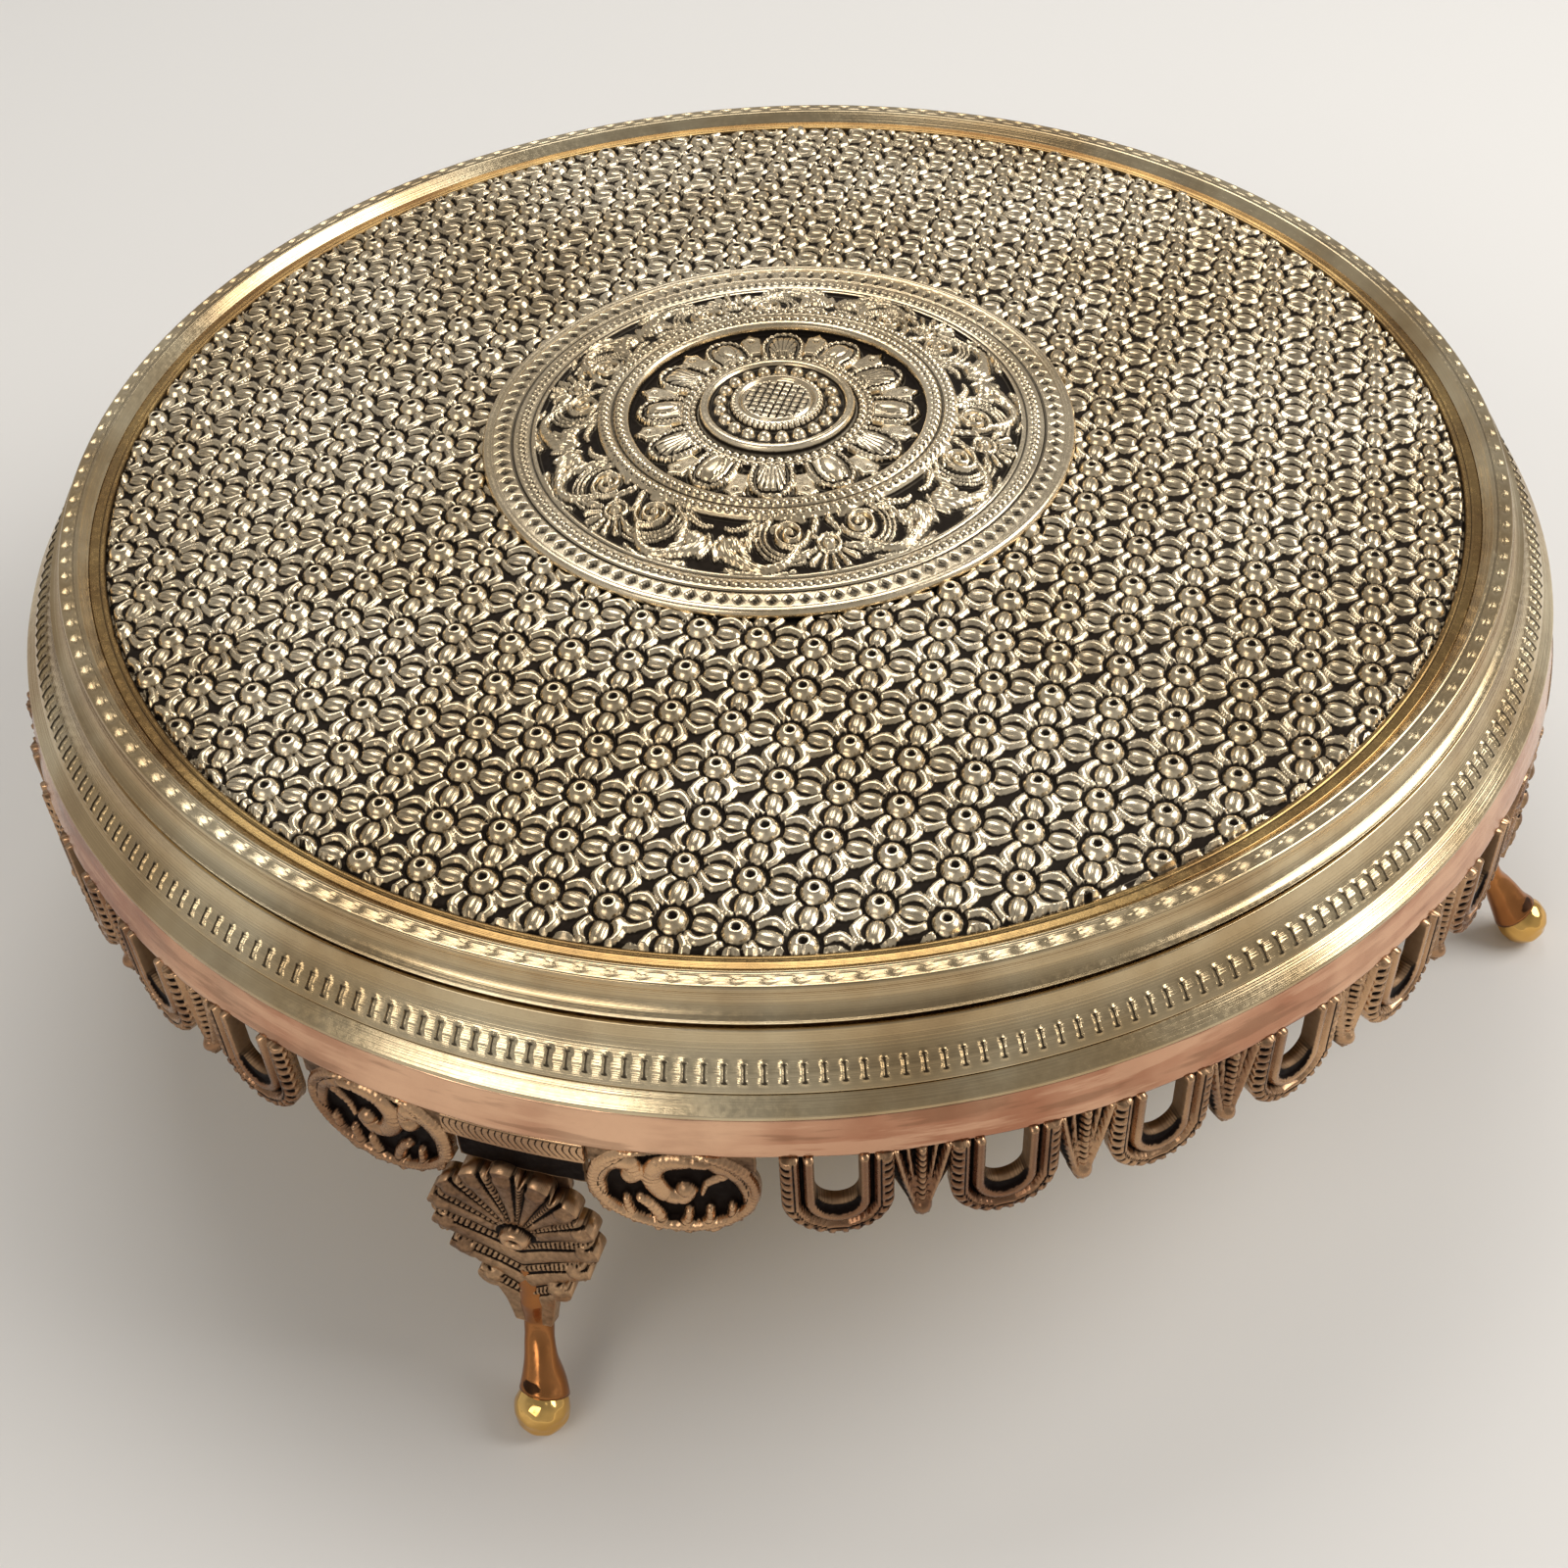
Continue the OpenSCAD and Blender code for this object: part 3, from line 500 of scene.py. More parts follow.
CHASED = brass("chased_brass", (200, 178, 142), (234, 216, 184), 0.24, dark=0.98, grain=0.25, edge=0.5)
BORDER = brass("border_brass", (146, 114, 70), (186, 154, 100), 0.22, 0.4, turning=0.8)
TURNED = brass("turned_brass", (182, 156, 116), (220, 202, 166), turning=0.9, edge=0.3)
# The wall's rose colour is partly the sheet's own tone and partly a painted reflection of a pinkish wooden table; its
# level streaks are painted reflections too.
WALL = brass("wall_brass", (176, 122, 94), (232, 188, 154), turning=0.25, edge=0.15, sheen_streaks=0.7)
CAST = brass("cast_brass", (130, 94, 70), (212, 172, 132), 0.26, 0.4, dark=0.99, grain=0.25, edge=0.5)
POLISHED = brass("polished_brass", (206, 152, 70), (234, 190, 114), 0.10, 0.1, grain=0.05, edge=0.5)
SPUN = brass("spun_brass", (208, 178, 112), (230, 206, 148), 0.24, 0.15, grain=0.1, turning=0.8)
WORN = brass("worn_brass", (118, 68, 38), (176, 116, 66), grime=0.35, grain=0.1)
TARNISHED = brass("tarnished_seam", (110, 86, 58), (170, 146, 104), 0.45, 0.7, grain=0.5, spots=1.0, edge=0)


# ---- repousse panel

BOSS_TOP = 1.2                # how far a boss stands over the smooth dome
BORDER_R = DOME_R + 1.0       # where the lattice ends at a plain strip
BOSS_R, BOSS_RING_R, PIT_R = 2.35, 3.15, 0.74
CORE_HALF_L, CORE_HALF_W = 2.35, 1.42
PETAL_HALF_W = 4.15           # from a petal's middle to the point of its rim
FLOOR, GROUND = -0.30, -0.85  # levels inside a petal and between the petals
SHADE = 2.3                   # how fast the chased ground turns black
B_AT, C_AT = (-4, 0), (9, 7)  # bosses of the image points b and c, counted from that of a


def dome_z(r):
    """Height of the panel's smooth dome."""
    return Z_PANEL + DOME_H * unit(1 - (r / DOME_R) ** 2)


def lattice_vectors():
    """Origin and steps of the lattice from three image points on bosses."""
    r, a = round_grid(linspace(1, PANEL_R, 60), 120)
    tops = polar(r, a, dome_z(r) + BOSS_TOP).reshape(-1, 3) * MM
    tree = BVHTree.FromPolygons(tops.tolist(), grid_faces(*r.shape).tolist())
    a, b, c = (place(name, tree)[:2] for name in ("lattice_a", "lattice_b", "lattice_c"))
    along = (b - a) / B_AT[0]
    return a, stack([along, (c - a - C_AT[0] * along) / C_AT[1]])


LATTICE_AT, STEPS = lattice_vectors()
# small hand-made errors of the bosses and of the petals along both steps, one for each place
TABLE = 64
BOSS_ERRORS, *PETAL_ERRORS = (np.random.default_rng(seed).normal(0, spread, (TABLE, TABLE, 2))
                              for seed, spread in ((1, 0.20), (2, 0.16), (3, 0.16)))


def error_at(errors, index):
    """Hand-made error of a lattice place."""
    return errors[tuple(np.moveaxis(index.astype(int) % TABLE, -1, 0))]


def wave(x, y):
    """Slow bend of the whole lattice."""
    bent = 0.35 * sin(x * 0.045 + 1.3) * cos(y * 0.038)
    return stack([bent, 0.8 * bent], -1)


def in_core(u, v):
    """1 at the middle of a petal's core, 0 on its edge."""
    return 1 - (u / CORE_HALF_L) ** 2 - (v / CORE_HALF_W) ** 2


def petal_relief(u, v):
    """Height and darkness of a petal between two bosses: u runs from boss to boss, v across.
    Darkness is a distance in millimetres, more than 0 in the black."""
    u, v = abs(u), abs(v)
    core_edge = ridge(u, CORE_HALF_L, CORE_HALF_W)
    rim_in = 2.38 * cos(unit(u / 3.0) * pi / 2) ** 0.9
    rim_out = PETAL_HALF_W - 0.30 * u - 0.16 * u * u
    floor = where(v < rim_out, FLOOR, GROUND)
    rim = floor + (0.55 - floor) * smooth(minimum(v - rim_in, rim_out - v), -0.10, 0.34)
    core = FLOOR + 0.95 * arch(in_core(u, v))
    crescent = minimum(minimum(v - core_edge, rim_in - v), 0.24)
    return maximum(rim, core), maximum(crescent, v - rim_out)


def lattice_relief(x, y):
    """Height over the dome, darkness in millimetres, and for a petal's fine veins the place
    across its core and how far inside it is."""
    p = stack([x, y], -1) - LATTICE_AT + wave(x, y)
    cell = p @ np.linalg.inv(STEPS)
    height, dark = np.full(x.shape, GROUND), np.full(x.shape, 9.0)
    vein, core = np.zeros(x.shape), np.zeros(x.shape)
    for half, step, errors in zip(np.eye(2) / 2, STEPS, PETAL_ERRORS):
        index = np.round(cell - half)
        error = error_at(errors, index)
        away = p - (index + half) @ STEPS - error
        turn = error[:, 0] * 0.35
        forward = step / np.linalg.norm(step)
        u, v = away @ forward, away @ array([-forward[1], forward[0]])
        u, v = u * cos(turn) + v * sin(turn), v * cos(turn) - u * sin(turn)
        up, black = petal_relief(u, v)
        inside = smooth(in_core(u, v), 0.0, 0.3)
        vein = where(inside > core, v + 0.12 * u, vein)
        core = maximum(core, inside)
        height, dark = maximum(height, up), minimum(dark, black)
    index = np.round(cell)
    error = error_at(BOSS_ERRORS, index)
    d = np.linalg.norm(p - index @ STEPS - error, axis=1) / (1 + 0.10 * error[:, 0])
    boss = -0.55 + ridge(d, BOSS_R, 1.75) - 1.1 * (1 - smooth(d, 0.35, 0.80))
    height = where(d < BOSS_R, boss, where(d < BOSS_RING_R, GROUND + 0.2, height))
    ring = maximum(minimum(d - BOSS_R, BOSS_RING_R - d), PIT_R - d)
    dark = where(d < BOSS_RING_R, ring, maximum(dark, BOSS_RING_R - d))
    return height, dark, vein, core * (d > BOSS_R)


def nakshi_panel():
    """Chased lattice on the dome, a plain border strip and a smooth underside."""
    step, inner_r = 0.36, MEDAL_R - 1.5
    ticks = arange(-BORDER_R - step, BORDER_R + 2 * step, step)

    def outline(x, y):
        r = hypot(x, y)
        return maximum(r - BORDER_R, inner_r - r)

    flat, faces = clipped_grid(*np.meshgrid(ticks, ticks), outline)
    r = hypot(*flat.T)
    relief, dark, vein, core = lattice_relief(*flat.T)
    lattice = column_stack([flat, dome_z(r) + where(r > BORDER_R - 0.5, GROUND, relief)])

    strip_r = concatenate([[BORDER_R, BORDER_R + 0.25], linspace(BORDER_R + 0.6, PANEL_R, 12)])
    strip_up, strip_dark = np.full(14, 0.05), np.zeros(14)
    strip_up[[0, 1, 5]], strip_dark[[0, 1, 5]] = (GROUND, -0.1, -0.35), (1.0, 0.6, 1.0)
    under_r = linspace(PANEL_R, 2, 30)
    heights = concatenate([dome_z(strip_r) + strip_up, dome_z(under_r) - SHEET])
    r, a = round_grid(concatenate([strip_r, under_r]), PLAIN_COLUMNS)
    rows, columns = r.shape
    strip = polar(r, a, heights[:, None]).reshape(-1, 3)
    cap = (rows - 1) * columns + arange(columns - 2)[:, None]
    cap_faces = np.hstack([0 * cap + cap[0], cap + 1, cap + 2])
    strip_shade = concatenate([strip_dark, np.zeros(30)]).repeat(columns)
    make_object("nakshi_panel", "border", BORDER, strip, [grid_faces(rows, columns), cap_faces], recess=strip_shade)
    make_object("nakshi_panel", "chased", CHASED, lattice, [faces],
                recess=0.60 + SHADE * clip(dark, -0.4, 0.4), vein=vein, core=core)


nakshi_panel()


# ---- medallion

ROSETTE_R = 0.5 * MEDAL_R
SOLDER = 0.05
# RISE: radius, rise over the dome. GROOVES and RINGS: radius, half width, depth or height.
# BEAD_ROWS: radius, count, bead radius, height.
RISE = [(0, 5.65), (6.4, 5.65), (6.8, 5.3), (8.7, 5.2), (9.1, 4.15), (12.8, 4.15), (13.2, 4.65), (14.8, 4.65),
        (15.3, 3.2), (18.5, 3.2), (18.7, 2.0), (28.4, 2.0), (28.6, 3.9), (29.2, 4.4), (34.2, 4.4),
        (34.7, 3.0), (46.2, 0.6), (46.8, 1.3), (55.2, 1.3), (55.5, 1.5), (56.6, 1.3), (57.0, 0.7)]
GROOVES = [(7.0, 0.25, 0.4), (15.2, 0.3, 0.5), (31.7, 0.35, 0.7), (47.7, 0.25, 0.4), (51.3, 0.3, 0.6),
           (55.3, 0.2, 0.35)]
RINGS = [(7.7, 0.45, 0.5), (14.0, 0.8, 0.5), (56.2, 0.9, 0.35)]
BEAD_ROWS = [(8.5, 46, 0.5, 0.5), (10.9, 21, 1.35, 1.5), (16.2, 60, 0.72, 0.6), (17.8, 66, 0.7, 0.5),
             (30.4, 112, 0.75, 0.6), (33.2, 124, 0.75, 0.6), (49.5, 188, 0.72, 0.5)]
DIAMOND_R, DIAMONDS = 53.3, 116
PETAL_PITCH, SECTOR = TURN / 12, TURN / 6
PETAL_Z, PETAL_SHOWN_R = 106.5, 22.8
FLOWER_Z, FLOWER_R = 105.0, 40.6
PETAL_ROOT_R, PETAL_L = 18.3, 9.3
VOLUTE_AT = (6.4, 37.2)


def angle_of(name, z):
    """Angle round the axis at which a named image point's ray meets the level z."""
    ray = image_ray(*POINTS[name])
    hit = CAMERA_AT + ray * ((z * MM - CAMERA_AT.z) / ray.z)
    return arctan2(hit.y, hit.x)


PETAL_ANGLE, FLOWER_ANGLE = angle_of("petal", PETAL_Z), angle_of("flower", FLOWER_Z)


def lotus_height(r, a):
    """Petals with a beaded border, and the leaf tips between them; also how dark each place is."""
    da = folded(a, PETAL_PITCH, PETAL_ANGLE)
    odd = np.round((a - PETAL_ANGLE) / PETAL_PITCH).astype(int) % 2 == 1
    t, v = (r * cos(da) - PETAL_ROOT_R) / PETAL_L, r * sin(da)
    half_w = interp(t, [-0.05, 0.0, 0.2, 0.4, 0.6, 0.75, 0.87, 0.95, 1.0],
                    [4.0, 4.1, 4.5, 4.6, 4.3, 3.6, 2.4, 1.2, 0.0])
    inward = minimum(half_w - abs(v), (1 - t) * PETAL_L * 0.75)
    around = arctan2(abs(v), (t - 0.22) * PETAL_L)
    body = 1.7 - 0.7 * unit(t)
    beads = 0.34 * unit(1 - ((inward - 0.80) / 0.48) ** 2) * (0.5 + 0.5 * cos(around * TURN / 0.22))
    groove = ridge(inward - 1.5, 0.40, 0.6)
    spread = arctan2(v, t * PETAL_L + 2.5)
    rays = 0.20 * smooth(cos(spread * 44), 0.2, 0.9) * (inward > 1.9) * ~odd
    lens = 1 - ((t - 0.42) * PETAL_L / 3.0) ** 2 - (v / 1.5) ** 2
    kernel = (0.55 * arch(lens) - ridge(lens + 0.16, 0.16, 0.35)) * odd
    crown = 0.5 * smooth(inward, 1.6, 3.4)
    petal = body * smooth(inward, -0.1, 0.45) + beads - groove - rays + kernel + crown
    petal = where(inward > -0.1, petal, 0)
    dark = maximum(1.1 * (groove > 0.2), maximum(4.4 * rays, 0.9 * (kernel < -0.12)))
    dark = where((beads < 0.07) & (inward > 0.35) & (inward < 1.2), 0.62, dark)
    dark = where(inward > 0.22, dark, 1.0)
    db = folded(a, PETAL_PITCH, PETAL_ANGLE + PETAL_PITCH / 2)
    p, q = r * cos(db) - 25.6, abs(r * sin(db))
    leaf_w = interp(p, [-5, -1.4, 0.4, 1.0, 2.6], [2.0, 2.0, 2.2, 1.0, 0.0])
    leaf = where((p > -5) & (p < 2.6), 0.9 * smooth(leaf_w - q, -0.05, 0.3), 0)
    off = hypot(p + 0.4, q)
    ring = smooth(0.62 - off, 0.0, 0.25) - smooth(0.30 - off, 0.0, 0.2)
    leaf_dark = where(leaf_w - q > 0.12, ring, 1.0) * (leaf > 0) + (leaf <= 0)
    on_top = petal > leaf
    return where(on_top, petal, leaf - 0.4 * ring * (leaf > 0)), where(on_top, dark, leaf_dark)


def scroll_lines():
    """Strokes of half a scroll group: x across from the flower's axis, y out from the centre."""
    lines = [(spiral(*VOLUTE_AT, 0.4, 3.3, 200, 890, 60), linspace(0.40, 0.52, 60), 1.25)]
    for k, radius in enumerate((4.4, 5.3, 6.2)):
        arc = spiral(*VOLUTE_AT, radius, radius + 0.5, -75 + 8 * k, 118 - 10 * k, 34)
        lines.append((arc, linspace(0.22, 0.34, 34), 1.0 - 0.1 * k))
    lines += [(spiral(0.0, FLOWER_R, 2.0, 2.0, -90, 90, 24), 0.38, 0.9), dot(0.0, FLOWER_R, 1.25, 1.5),
              dot(17.0, 36.6, 1.75, 1.9)]
    for tilt in radians((0, 24, 48, 72)):
        tips = [(far * sin(tilt), FLOWER_R + far * cos(tilt)) for far in (2.9, 5.6)]
        lines.append(taper(tips, 0.3, 0.62, 1.1))
    return lines + [taper(*leaf) for leaf in (
        (((6.0, 40.7), (9.4, 43.3), (13.4, 43.2), (17.4, 39.6)), 0.6, 1.25, 1.2),
        (((17.4, 39.6), (18.6, 37.6), (17.6, 36.0)), 1.25, 1.5, 1.3),
        (((9.5, 33.6), (13.0, 35.0), (14.6, 38.2)), 0.4, 0.9, 0.9),
        (((12.2, 33.2), (15.6, 33.4), (17.2, 32.4)), 0.9, 0.3, 0.8),
        (((1.2, 35.2), (2.4, 38.0), (2.0, 39.0)), 0.8, 0.3, 0.9),
        (((3.4, 34.7), (6.0, 34.3), (9.4, 35.0)), 0.5, 0.35, 0.8),
        (((7.6, 45.2), (11.8, 45.6), (16.0, 43.8), (19.2, 41.6)), 0.4, 0.75, 0.8),
        (((14.8, 40.4), (15.6, 38.4), (15.0, 36.0), (12.4, 36.6)), 0.6, 0.35, 0.9),
        (((20.4, 38.4), (20.0, 35.6), (18.2, 34.0)), 0.7, 0.4, 0.8))]


def scroll_height(r, a):
    """Scroll groups in relief over the sloping ground."""
    da = folded(a, SECTOR, FLOWER_ANGLE)
    x, y = abs(r * sin(da)), r * cos(da)
    near = (r > 34.3) & (r < 46.9)
    height = np.zeros(r.shape)
    height[near] = strokes(x[near], y[near], scroll_lines())[0]
    return height + 0.14 * sin(hypot(x - VOLUTE_AT[0], y - VOLUTE_AT[1]) * 8.0) * (height > 0.1)


def medallion_relief(r, a):
    """Rise over the dome and recess of the whole medallion."""
    base = interp(r, *array(RISE).T)
    rise = base.copy()
    for at, half, depth in GROOVES:
        rise -= ridge(r - at, half, depth)
    for at, half, height in RINGS:
        rise += ridge(r - at, half, height)
    for at, count, bead_r, height in BEAD_ROWS:
        rise += ridge(hypot(r - at, at * folded(a, TURN / count)), bead_r, height)
    along = DIAMOND_R * abs(folded(a, TURN / DIAMONDS)) / 1.15
    diamond = unit(1 - abs(r - DIAMOND_R) / 1.6 - along)
    rise -= 0.85 * minimum(diamond * 1.6, 0.6)
    lotus, lotus_dark = lotus_height(r, a)
    scroll = scroll_height(r, a)
    rise += where((r > 18.7) & (r < 28.5), lotus, 0) + scroll
    hatch = minimum(abs(folded(r * cos(a), 1.5)), abs(folded(r * sin(a), 1.5)))
    rise -= 0.34 * (1 - smooth(hatch, 0.08, 0.34)) * (r < 6.2)
    recess = where(r > DIAMOND_R - 1.8, 0.74, 1.1) * smooth(base - rise, 0.05, 0.35)
    recess = where((r > 18.5) & (r < 28.6), lotus_dark, recess)
    recess = maximum(recess, ((r > 8.9) & (r < 13.1)) * (1 - smooth(rise - base, 0.1, 0.5)))
    recess = maximum(recess, 0.95 * ((r > 34.6) & (r < 46.7)) * (1 - smooth(scroll, 0.15, 0.75)))
    in_row = np.any([abs(r - at) < bead_r for at, _, bead_r, _ in BEAD_ROWS], 0)
    return rise, maximum(recess, 0.8 * in_row * (1 - smooth(rise - base, 0.05, 0.3)))


def medallion_piece(node, inner, outer, columns, step):
    """Relief between two radii, closed underneath just over the dome."""
    r, a = round_grid([inner, outer, *arange(outer, inner, -step), inner], columns)
    rise, recess = medallion_relief(r, a)
    rise[:2], recess[:2] = SOLDER, 1.0
    points = polar(r, a, dome_z(r) + rise).reshape(-1, 3)
    make_object(node, "chased", CHASED, points, [grid_faces(*r.shape, ring=True)[:, ::-1]], recess=recess)


medallion_piece("medallion_plate", ROSETTE_R + 0.1, MEDAL_R, 1152, 0.28)
medallion_piece("lotus_rosette", 0.03, ROSETTE_R, 576, 0.25)


# ---- turned ring, rim, step and wall

RING_DIAMONDS, RING_DIAMOND_R = 180, LID_R - 1.5
NOTCHES = 300
COLUMNS = 8                   # columns of points for each diamond or notch


def ring_relief(r, z, a):
    """Punched diamonds and a fine line on the lid ring's flat top."""
    on_top = z > Z_TOP - 0.5
    along = RING_DIAMOND_R * abs(folded(a, TURN / RING_DIAMONDS)) / 1.7
    diamond = unit(1 - abs(r - RING_DIAMOND_R) - along) * on_top
    line = ridge(r - (LID_R - RING_TOP_W + 0.45), 0.25, 0.22) * on_top
    return -0.5 * minimum(diamond, 0.55) - line, maximum(0.46 * smooth(diamond, 0.08, 0.4), 0.7 * (line > 0.1))


def rim_relief(r, z, a):
    """Bow-tie notches milled over the rim's widest edge, with bright pads between them."""
    near = hypot(r - MILLED_R, z - Z_MILLED)
    off = abs(folded(a, TURN / NOTCHES)) * MILLED_R
    half = 0.17 + 0.26 * smooth(near, 0.4, 1.5)
    notch = smooth(half - off, -0.12, 0.12) * (1 - smooth(near, 1.45, 1.7))
    pad = 0.09 * sin(unit(off / 1.5) * pi / 2) * (1 - smooth(near, 1.2, 1.8))
    return pad - 0.55 * notch, notch


def hand_beaten(depth, seed):
    """Slow dents of a sheet wall, as a relief."""
    phases = np.random.default_rng(seed).uniform(0, TURN, 6)

    def relief(r, z, a):
        waves = sum(sin(a * k + phases[i] + z * 0.12 * (i - 2)) / (1 + 0.3 * i)
                    for i, k in enumerate((5, 9, 14, 23, 31, 47)))
        return depth * waves, 0 * r
    return relief


def turned_parts():
    """Lid ring with a bevel over the panel's ledge and a tall cove; the base's rim, step and wall."""
    foot, edge_r, seat_r = 0.6, 1.0, PANEL_R + 0.1
    rise = Z_TOP - Z_RING - foot - edge_r
    cove = [(SEAM_R - COVE_OUT * sin(t), Z_RING + foot + rise * (1 - cos(t)), 0) for t in arange(1, 12) * pi / 24]
    ring = [(LEDGE_R, Z_RING, 0.1), (SEAM_R - 0.8, Z_RING, 0.3), (SEAM_R, Z_RING + foot, 0.2), *cove,
            (LID_R, Z_TOP, 1.6), (LID_R - RING_TOP_W, Z_TOP, 0.5), (seat_r, Z_PANEL, 0.1),
            (seat_r, Z_PANEL - SHEET, 0.1), (LEDGE_R, Z_PANEL - SHEET, 0.1)]
    hollow = [(SEAM_R + 3.5 * t - 0.5 * sin(pi * t), Z_LAND - 5.9 * t - 0.5 * sin(pi * t), 0)
              for t in (0.2, 0.35, 0.5, 0.65, 0.8)]
    rim = [(BORE_R, Z_STEP_TOP, 0.1), (BORE_R, Z_LAND, 0.3), (SEAM_R, Z_LAND, 0.35), *hollow,
           (MILLED_R + 0.1, Z_MILLED, 0.5), (RIM_R, Z_STEP_TOP, 0.3), (RIM_R - 2, Z_STEP_TOP, 0.1),
           (MILLED_R - 2, Z_MILLED - 0.7, 0.5), (SEAM_R - 1.8, Z_LAND - 1.5, 0.4),
           (BORE_R + 1.5, Z_LAND - 1.5, 0.4), (BORE_R + 1.5, Z_STEP_TOP, 0.1)]
    lip = RIM_R - 0.5
    step = [(lip - 7, Z_STEP_TOP - 1.6, 0.1), (STEP_R - 3, Z_STEP_EDGE - 0.8, 0.2),
            (STEP_R, Z_STEP_EDGE - 0.8, 0.3), (STEP_R, Z_STEP_EDGE, 0.6), (lip, Z_STEP_TOP - 0.4, 0.4),
            (lip - 7, Z_STEP_TOP - 1.0, 0.2)]
    top, top_r, sheet, shelf = Z_STEP_EDGE - 0.85, STEP_R - 0.2, 1.5, 6.5
    wall = [(WALL_R - shelf, Z_WALL, 0.1), (WALL_R, Z_WALL, 0.7), (top_r, top, 0.4), (top_r - sheet, top, 0.2),
            (WALL_R - sheet, Z_WALL + sheet, 0.5), (WALL_R - shelf, Z_WALL + sheet, 0.1)]
    turned("lid_ring", "turned", TURNED, rounded(ring, 0.4), RING_DIAMONDS * COLUMNS, ring_relief)
    turned("base_rim", "turned", TURNED, rounded(rim[::-1], 0.42)[::-1], NOTCHES * COLUMNS, rim_relief)
    turned("step_ring", "turned", TURNED, rounded(step), PLAIN_COLUMNS, hand_beaten(0.03, 5))
    turned("outer_wall", "sheet", WALL, rounded(wall), PLAIN_COLUMNS, hand_beaten(0.10, 7))


turned_parts()
for cad_name in ("lid_liner", "pan", "centre_bowl", *(f"side_bowl_{k}" for k in range(1, 7))):
    frame["nodes"][cad_name].data.materials[0] = SPUN
frame["nodes"]["lid_collar"].data.materials[0] = TARNISHED
frame["nodes"]["spoon"].data.materials[0] = POLISHED


# ---- gallery under the wall

APRON_H = 19.8
PROUD = 1.0                   # how far the loops' bands stand proud of their ground
LOOP_HALF_W, LOOP_DEPTH = 8.8, APRON_H
BAND_W = 2.8
INNER_HALF_W, INNER_DEPTH = 5.1, 16.1
HOLE_HALF_W, HOLE_DEPTH = 3.5, 12.0
NOTCH_PITCH, DART_NOTCH_PITCH = 1.9, 1.5
DART_DEPTH = 0.76 * APRON_H
SCROLL_HALF_W, SCROLL_HALF_H, SCROLL_CY = 13.9, 0.56 * APRON_H, -0.46 * APRON_H
FOOT_GAP_HALF_W = 11.4
END_GAP, DART_GAP = 3.0, 8.6
STRIP_H, STRIP_T, STRIP_PITCH = 4.2, 1.4, 1.12
SCROLL_ANGLE = arcsin((FOOT_GAP_HALF_W + SCROLL_HALF_W) / WALL_R)
LOOP_SPAN = 2 * (QUARTER / 2 - SCROLL_ANGLE - arcsin(SCROLL_HALF_W / WALL_R)
                 - arcsin((END_GAP + LOOP_HALF_W) / WALL_R))
LOOPS = 1 + int(LOOP_SPAN / (2 * arcsin((LOOP_HALF_W + DART_GAP / 2) / WALL_R)))
LOOP_PITCH = LOOP_SPAN / (LOOPS - 1)
DART_TOP_W = (WALL_R * LOOP_PITCH - 2 * LOOP_HALF_W) / 2 + 0.5


def bent(angle, front_r, thick=PLATE_T):
    """Function that sets a plate's (x, y up, height) round the axis under the wall."""
    return lambda p: polar(front_r - thick + p[:, 2], angle + p[:, 0] / front_r, Z_WALL + p[:, 1])


def u_distance(x, y, half_w, depth):
    """Distance to a U that hangs from y = 0, less than 0 inside; its top is open."""
    return where(y < half_w - depth, hypot(x, y + depth - half_w), abs(x)) - half_w


def loop_relief(x, y):
    """Outer band with notches cut in from its edge, a deep groove, and a thin band round the hole."""
    inward = -u_distance(x, y, LOOP_HALF_W, LOOP_DEPTH)
    inner = u_distance(x, y, INNER_HALF_W, INNER_DEPTH)
    half_w, below = LOOP_HALF_W - BAND_W / 2, y + LOOP_DEPTH - LOOP_HALF_W
    s = where(below < 0, arctan2(abs(x), -below) * half_w, half_w * pi / 2 + below)
    notch = smooth(0.48 - abs(folded(s, NOTCH_PITCH)), -0.12, 0.12)
    notch *= smooth(inward, 0.1, 0.4) * smooth(1.75 - inward, 0.0, 0.3)
    line = smooth(0.26 - abs(inward - 2.0), 0.0, 0.15)
    cushion = PLATE_T + PROUD - 0.8 * clip(abs(inward / BAND_W - 0.55) * 2, 0, 1.2) ** 2.6 - 0.7 * notch
    band = PLATE_T + 0.75 * PROUD - 0.5 * smooth(0.5 + inner, 0, 0.5) - 0.8 * smooth(-inner, 1.25, 1.9)
    outside = inward < BAND_W
    height = where(outside, cushion - 0.25 * line, where(inner < 0, band, PLATE_T - 1.2))
    recess = where(inner < 0, 1.1 * smooth(-inner, 1.35, 1.7), 1.1)
    return height, where(outside, maximum(1.1 * notch, 0.95 * line), recess)


def loop_outline(x, y):
    """A U with a hole."""
    d = maximum(u_distance(x, y, LOOP_HALF_W, LOOP_DEPTH), -u_distance(x, y, HOLE_HALF_W, HOLE_DEPTH))
    return maximum(d, y)


def dart_relief(x, y):
    """Notched ridge between two tapering grooves, over a dark ground, with a ball at the tip."""
    fall, side = unit(-y / DART_DEPTH), abs(x)
    rib_at = interp(fall, [0, 0.5, 1], [DART_TOP_W - 0.8, DART_TOP_W - 2.2, 0.9])
    notch = smooth(0.32 - abs(folded(y, DART_NOTCH_PITCH)), -0.05, 0.15) * (side < 0.9)
    spine = ridge(x, 0.95, 2.0) - 0.6 * notch
    middle = ridge(side - rib_at * 0.54, 0.42, 1.3) * (fall < 0.8)
    ball = ridge(hypot(x, y + DART_DEPTH), 1.9, 2.9)
    rise = np.max([spine, ridge(side - rib_at, 0.66, 1.9), middle, ball], 0)
    recess = maximum(0.5 + 1.2 * (0.75 - rise), notch * (ball <= 0))
    return PLATE_T - 1.6 + rise, shade_of(recess)


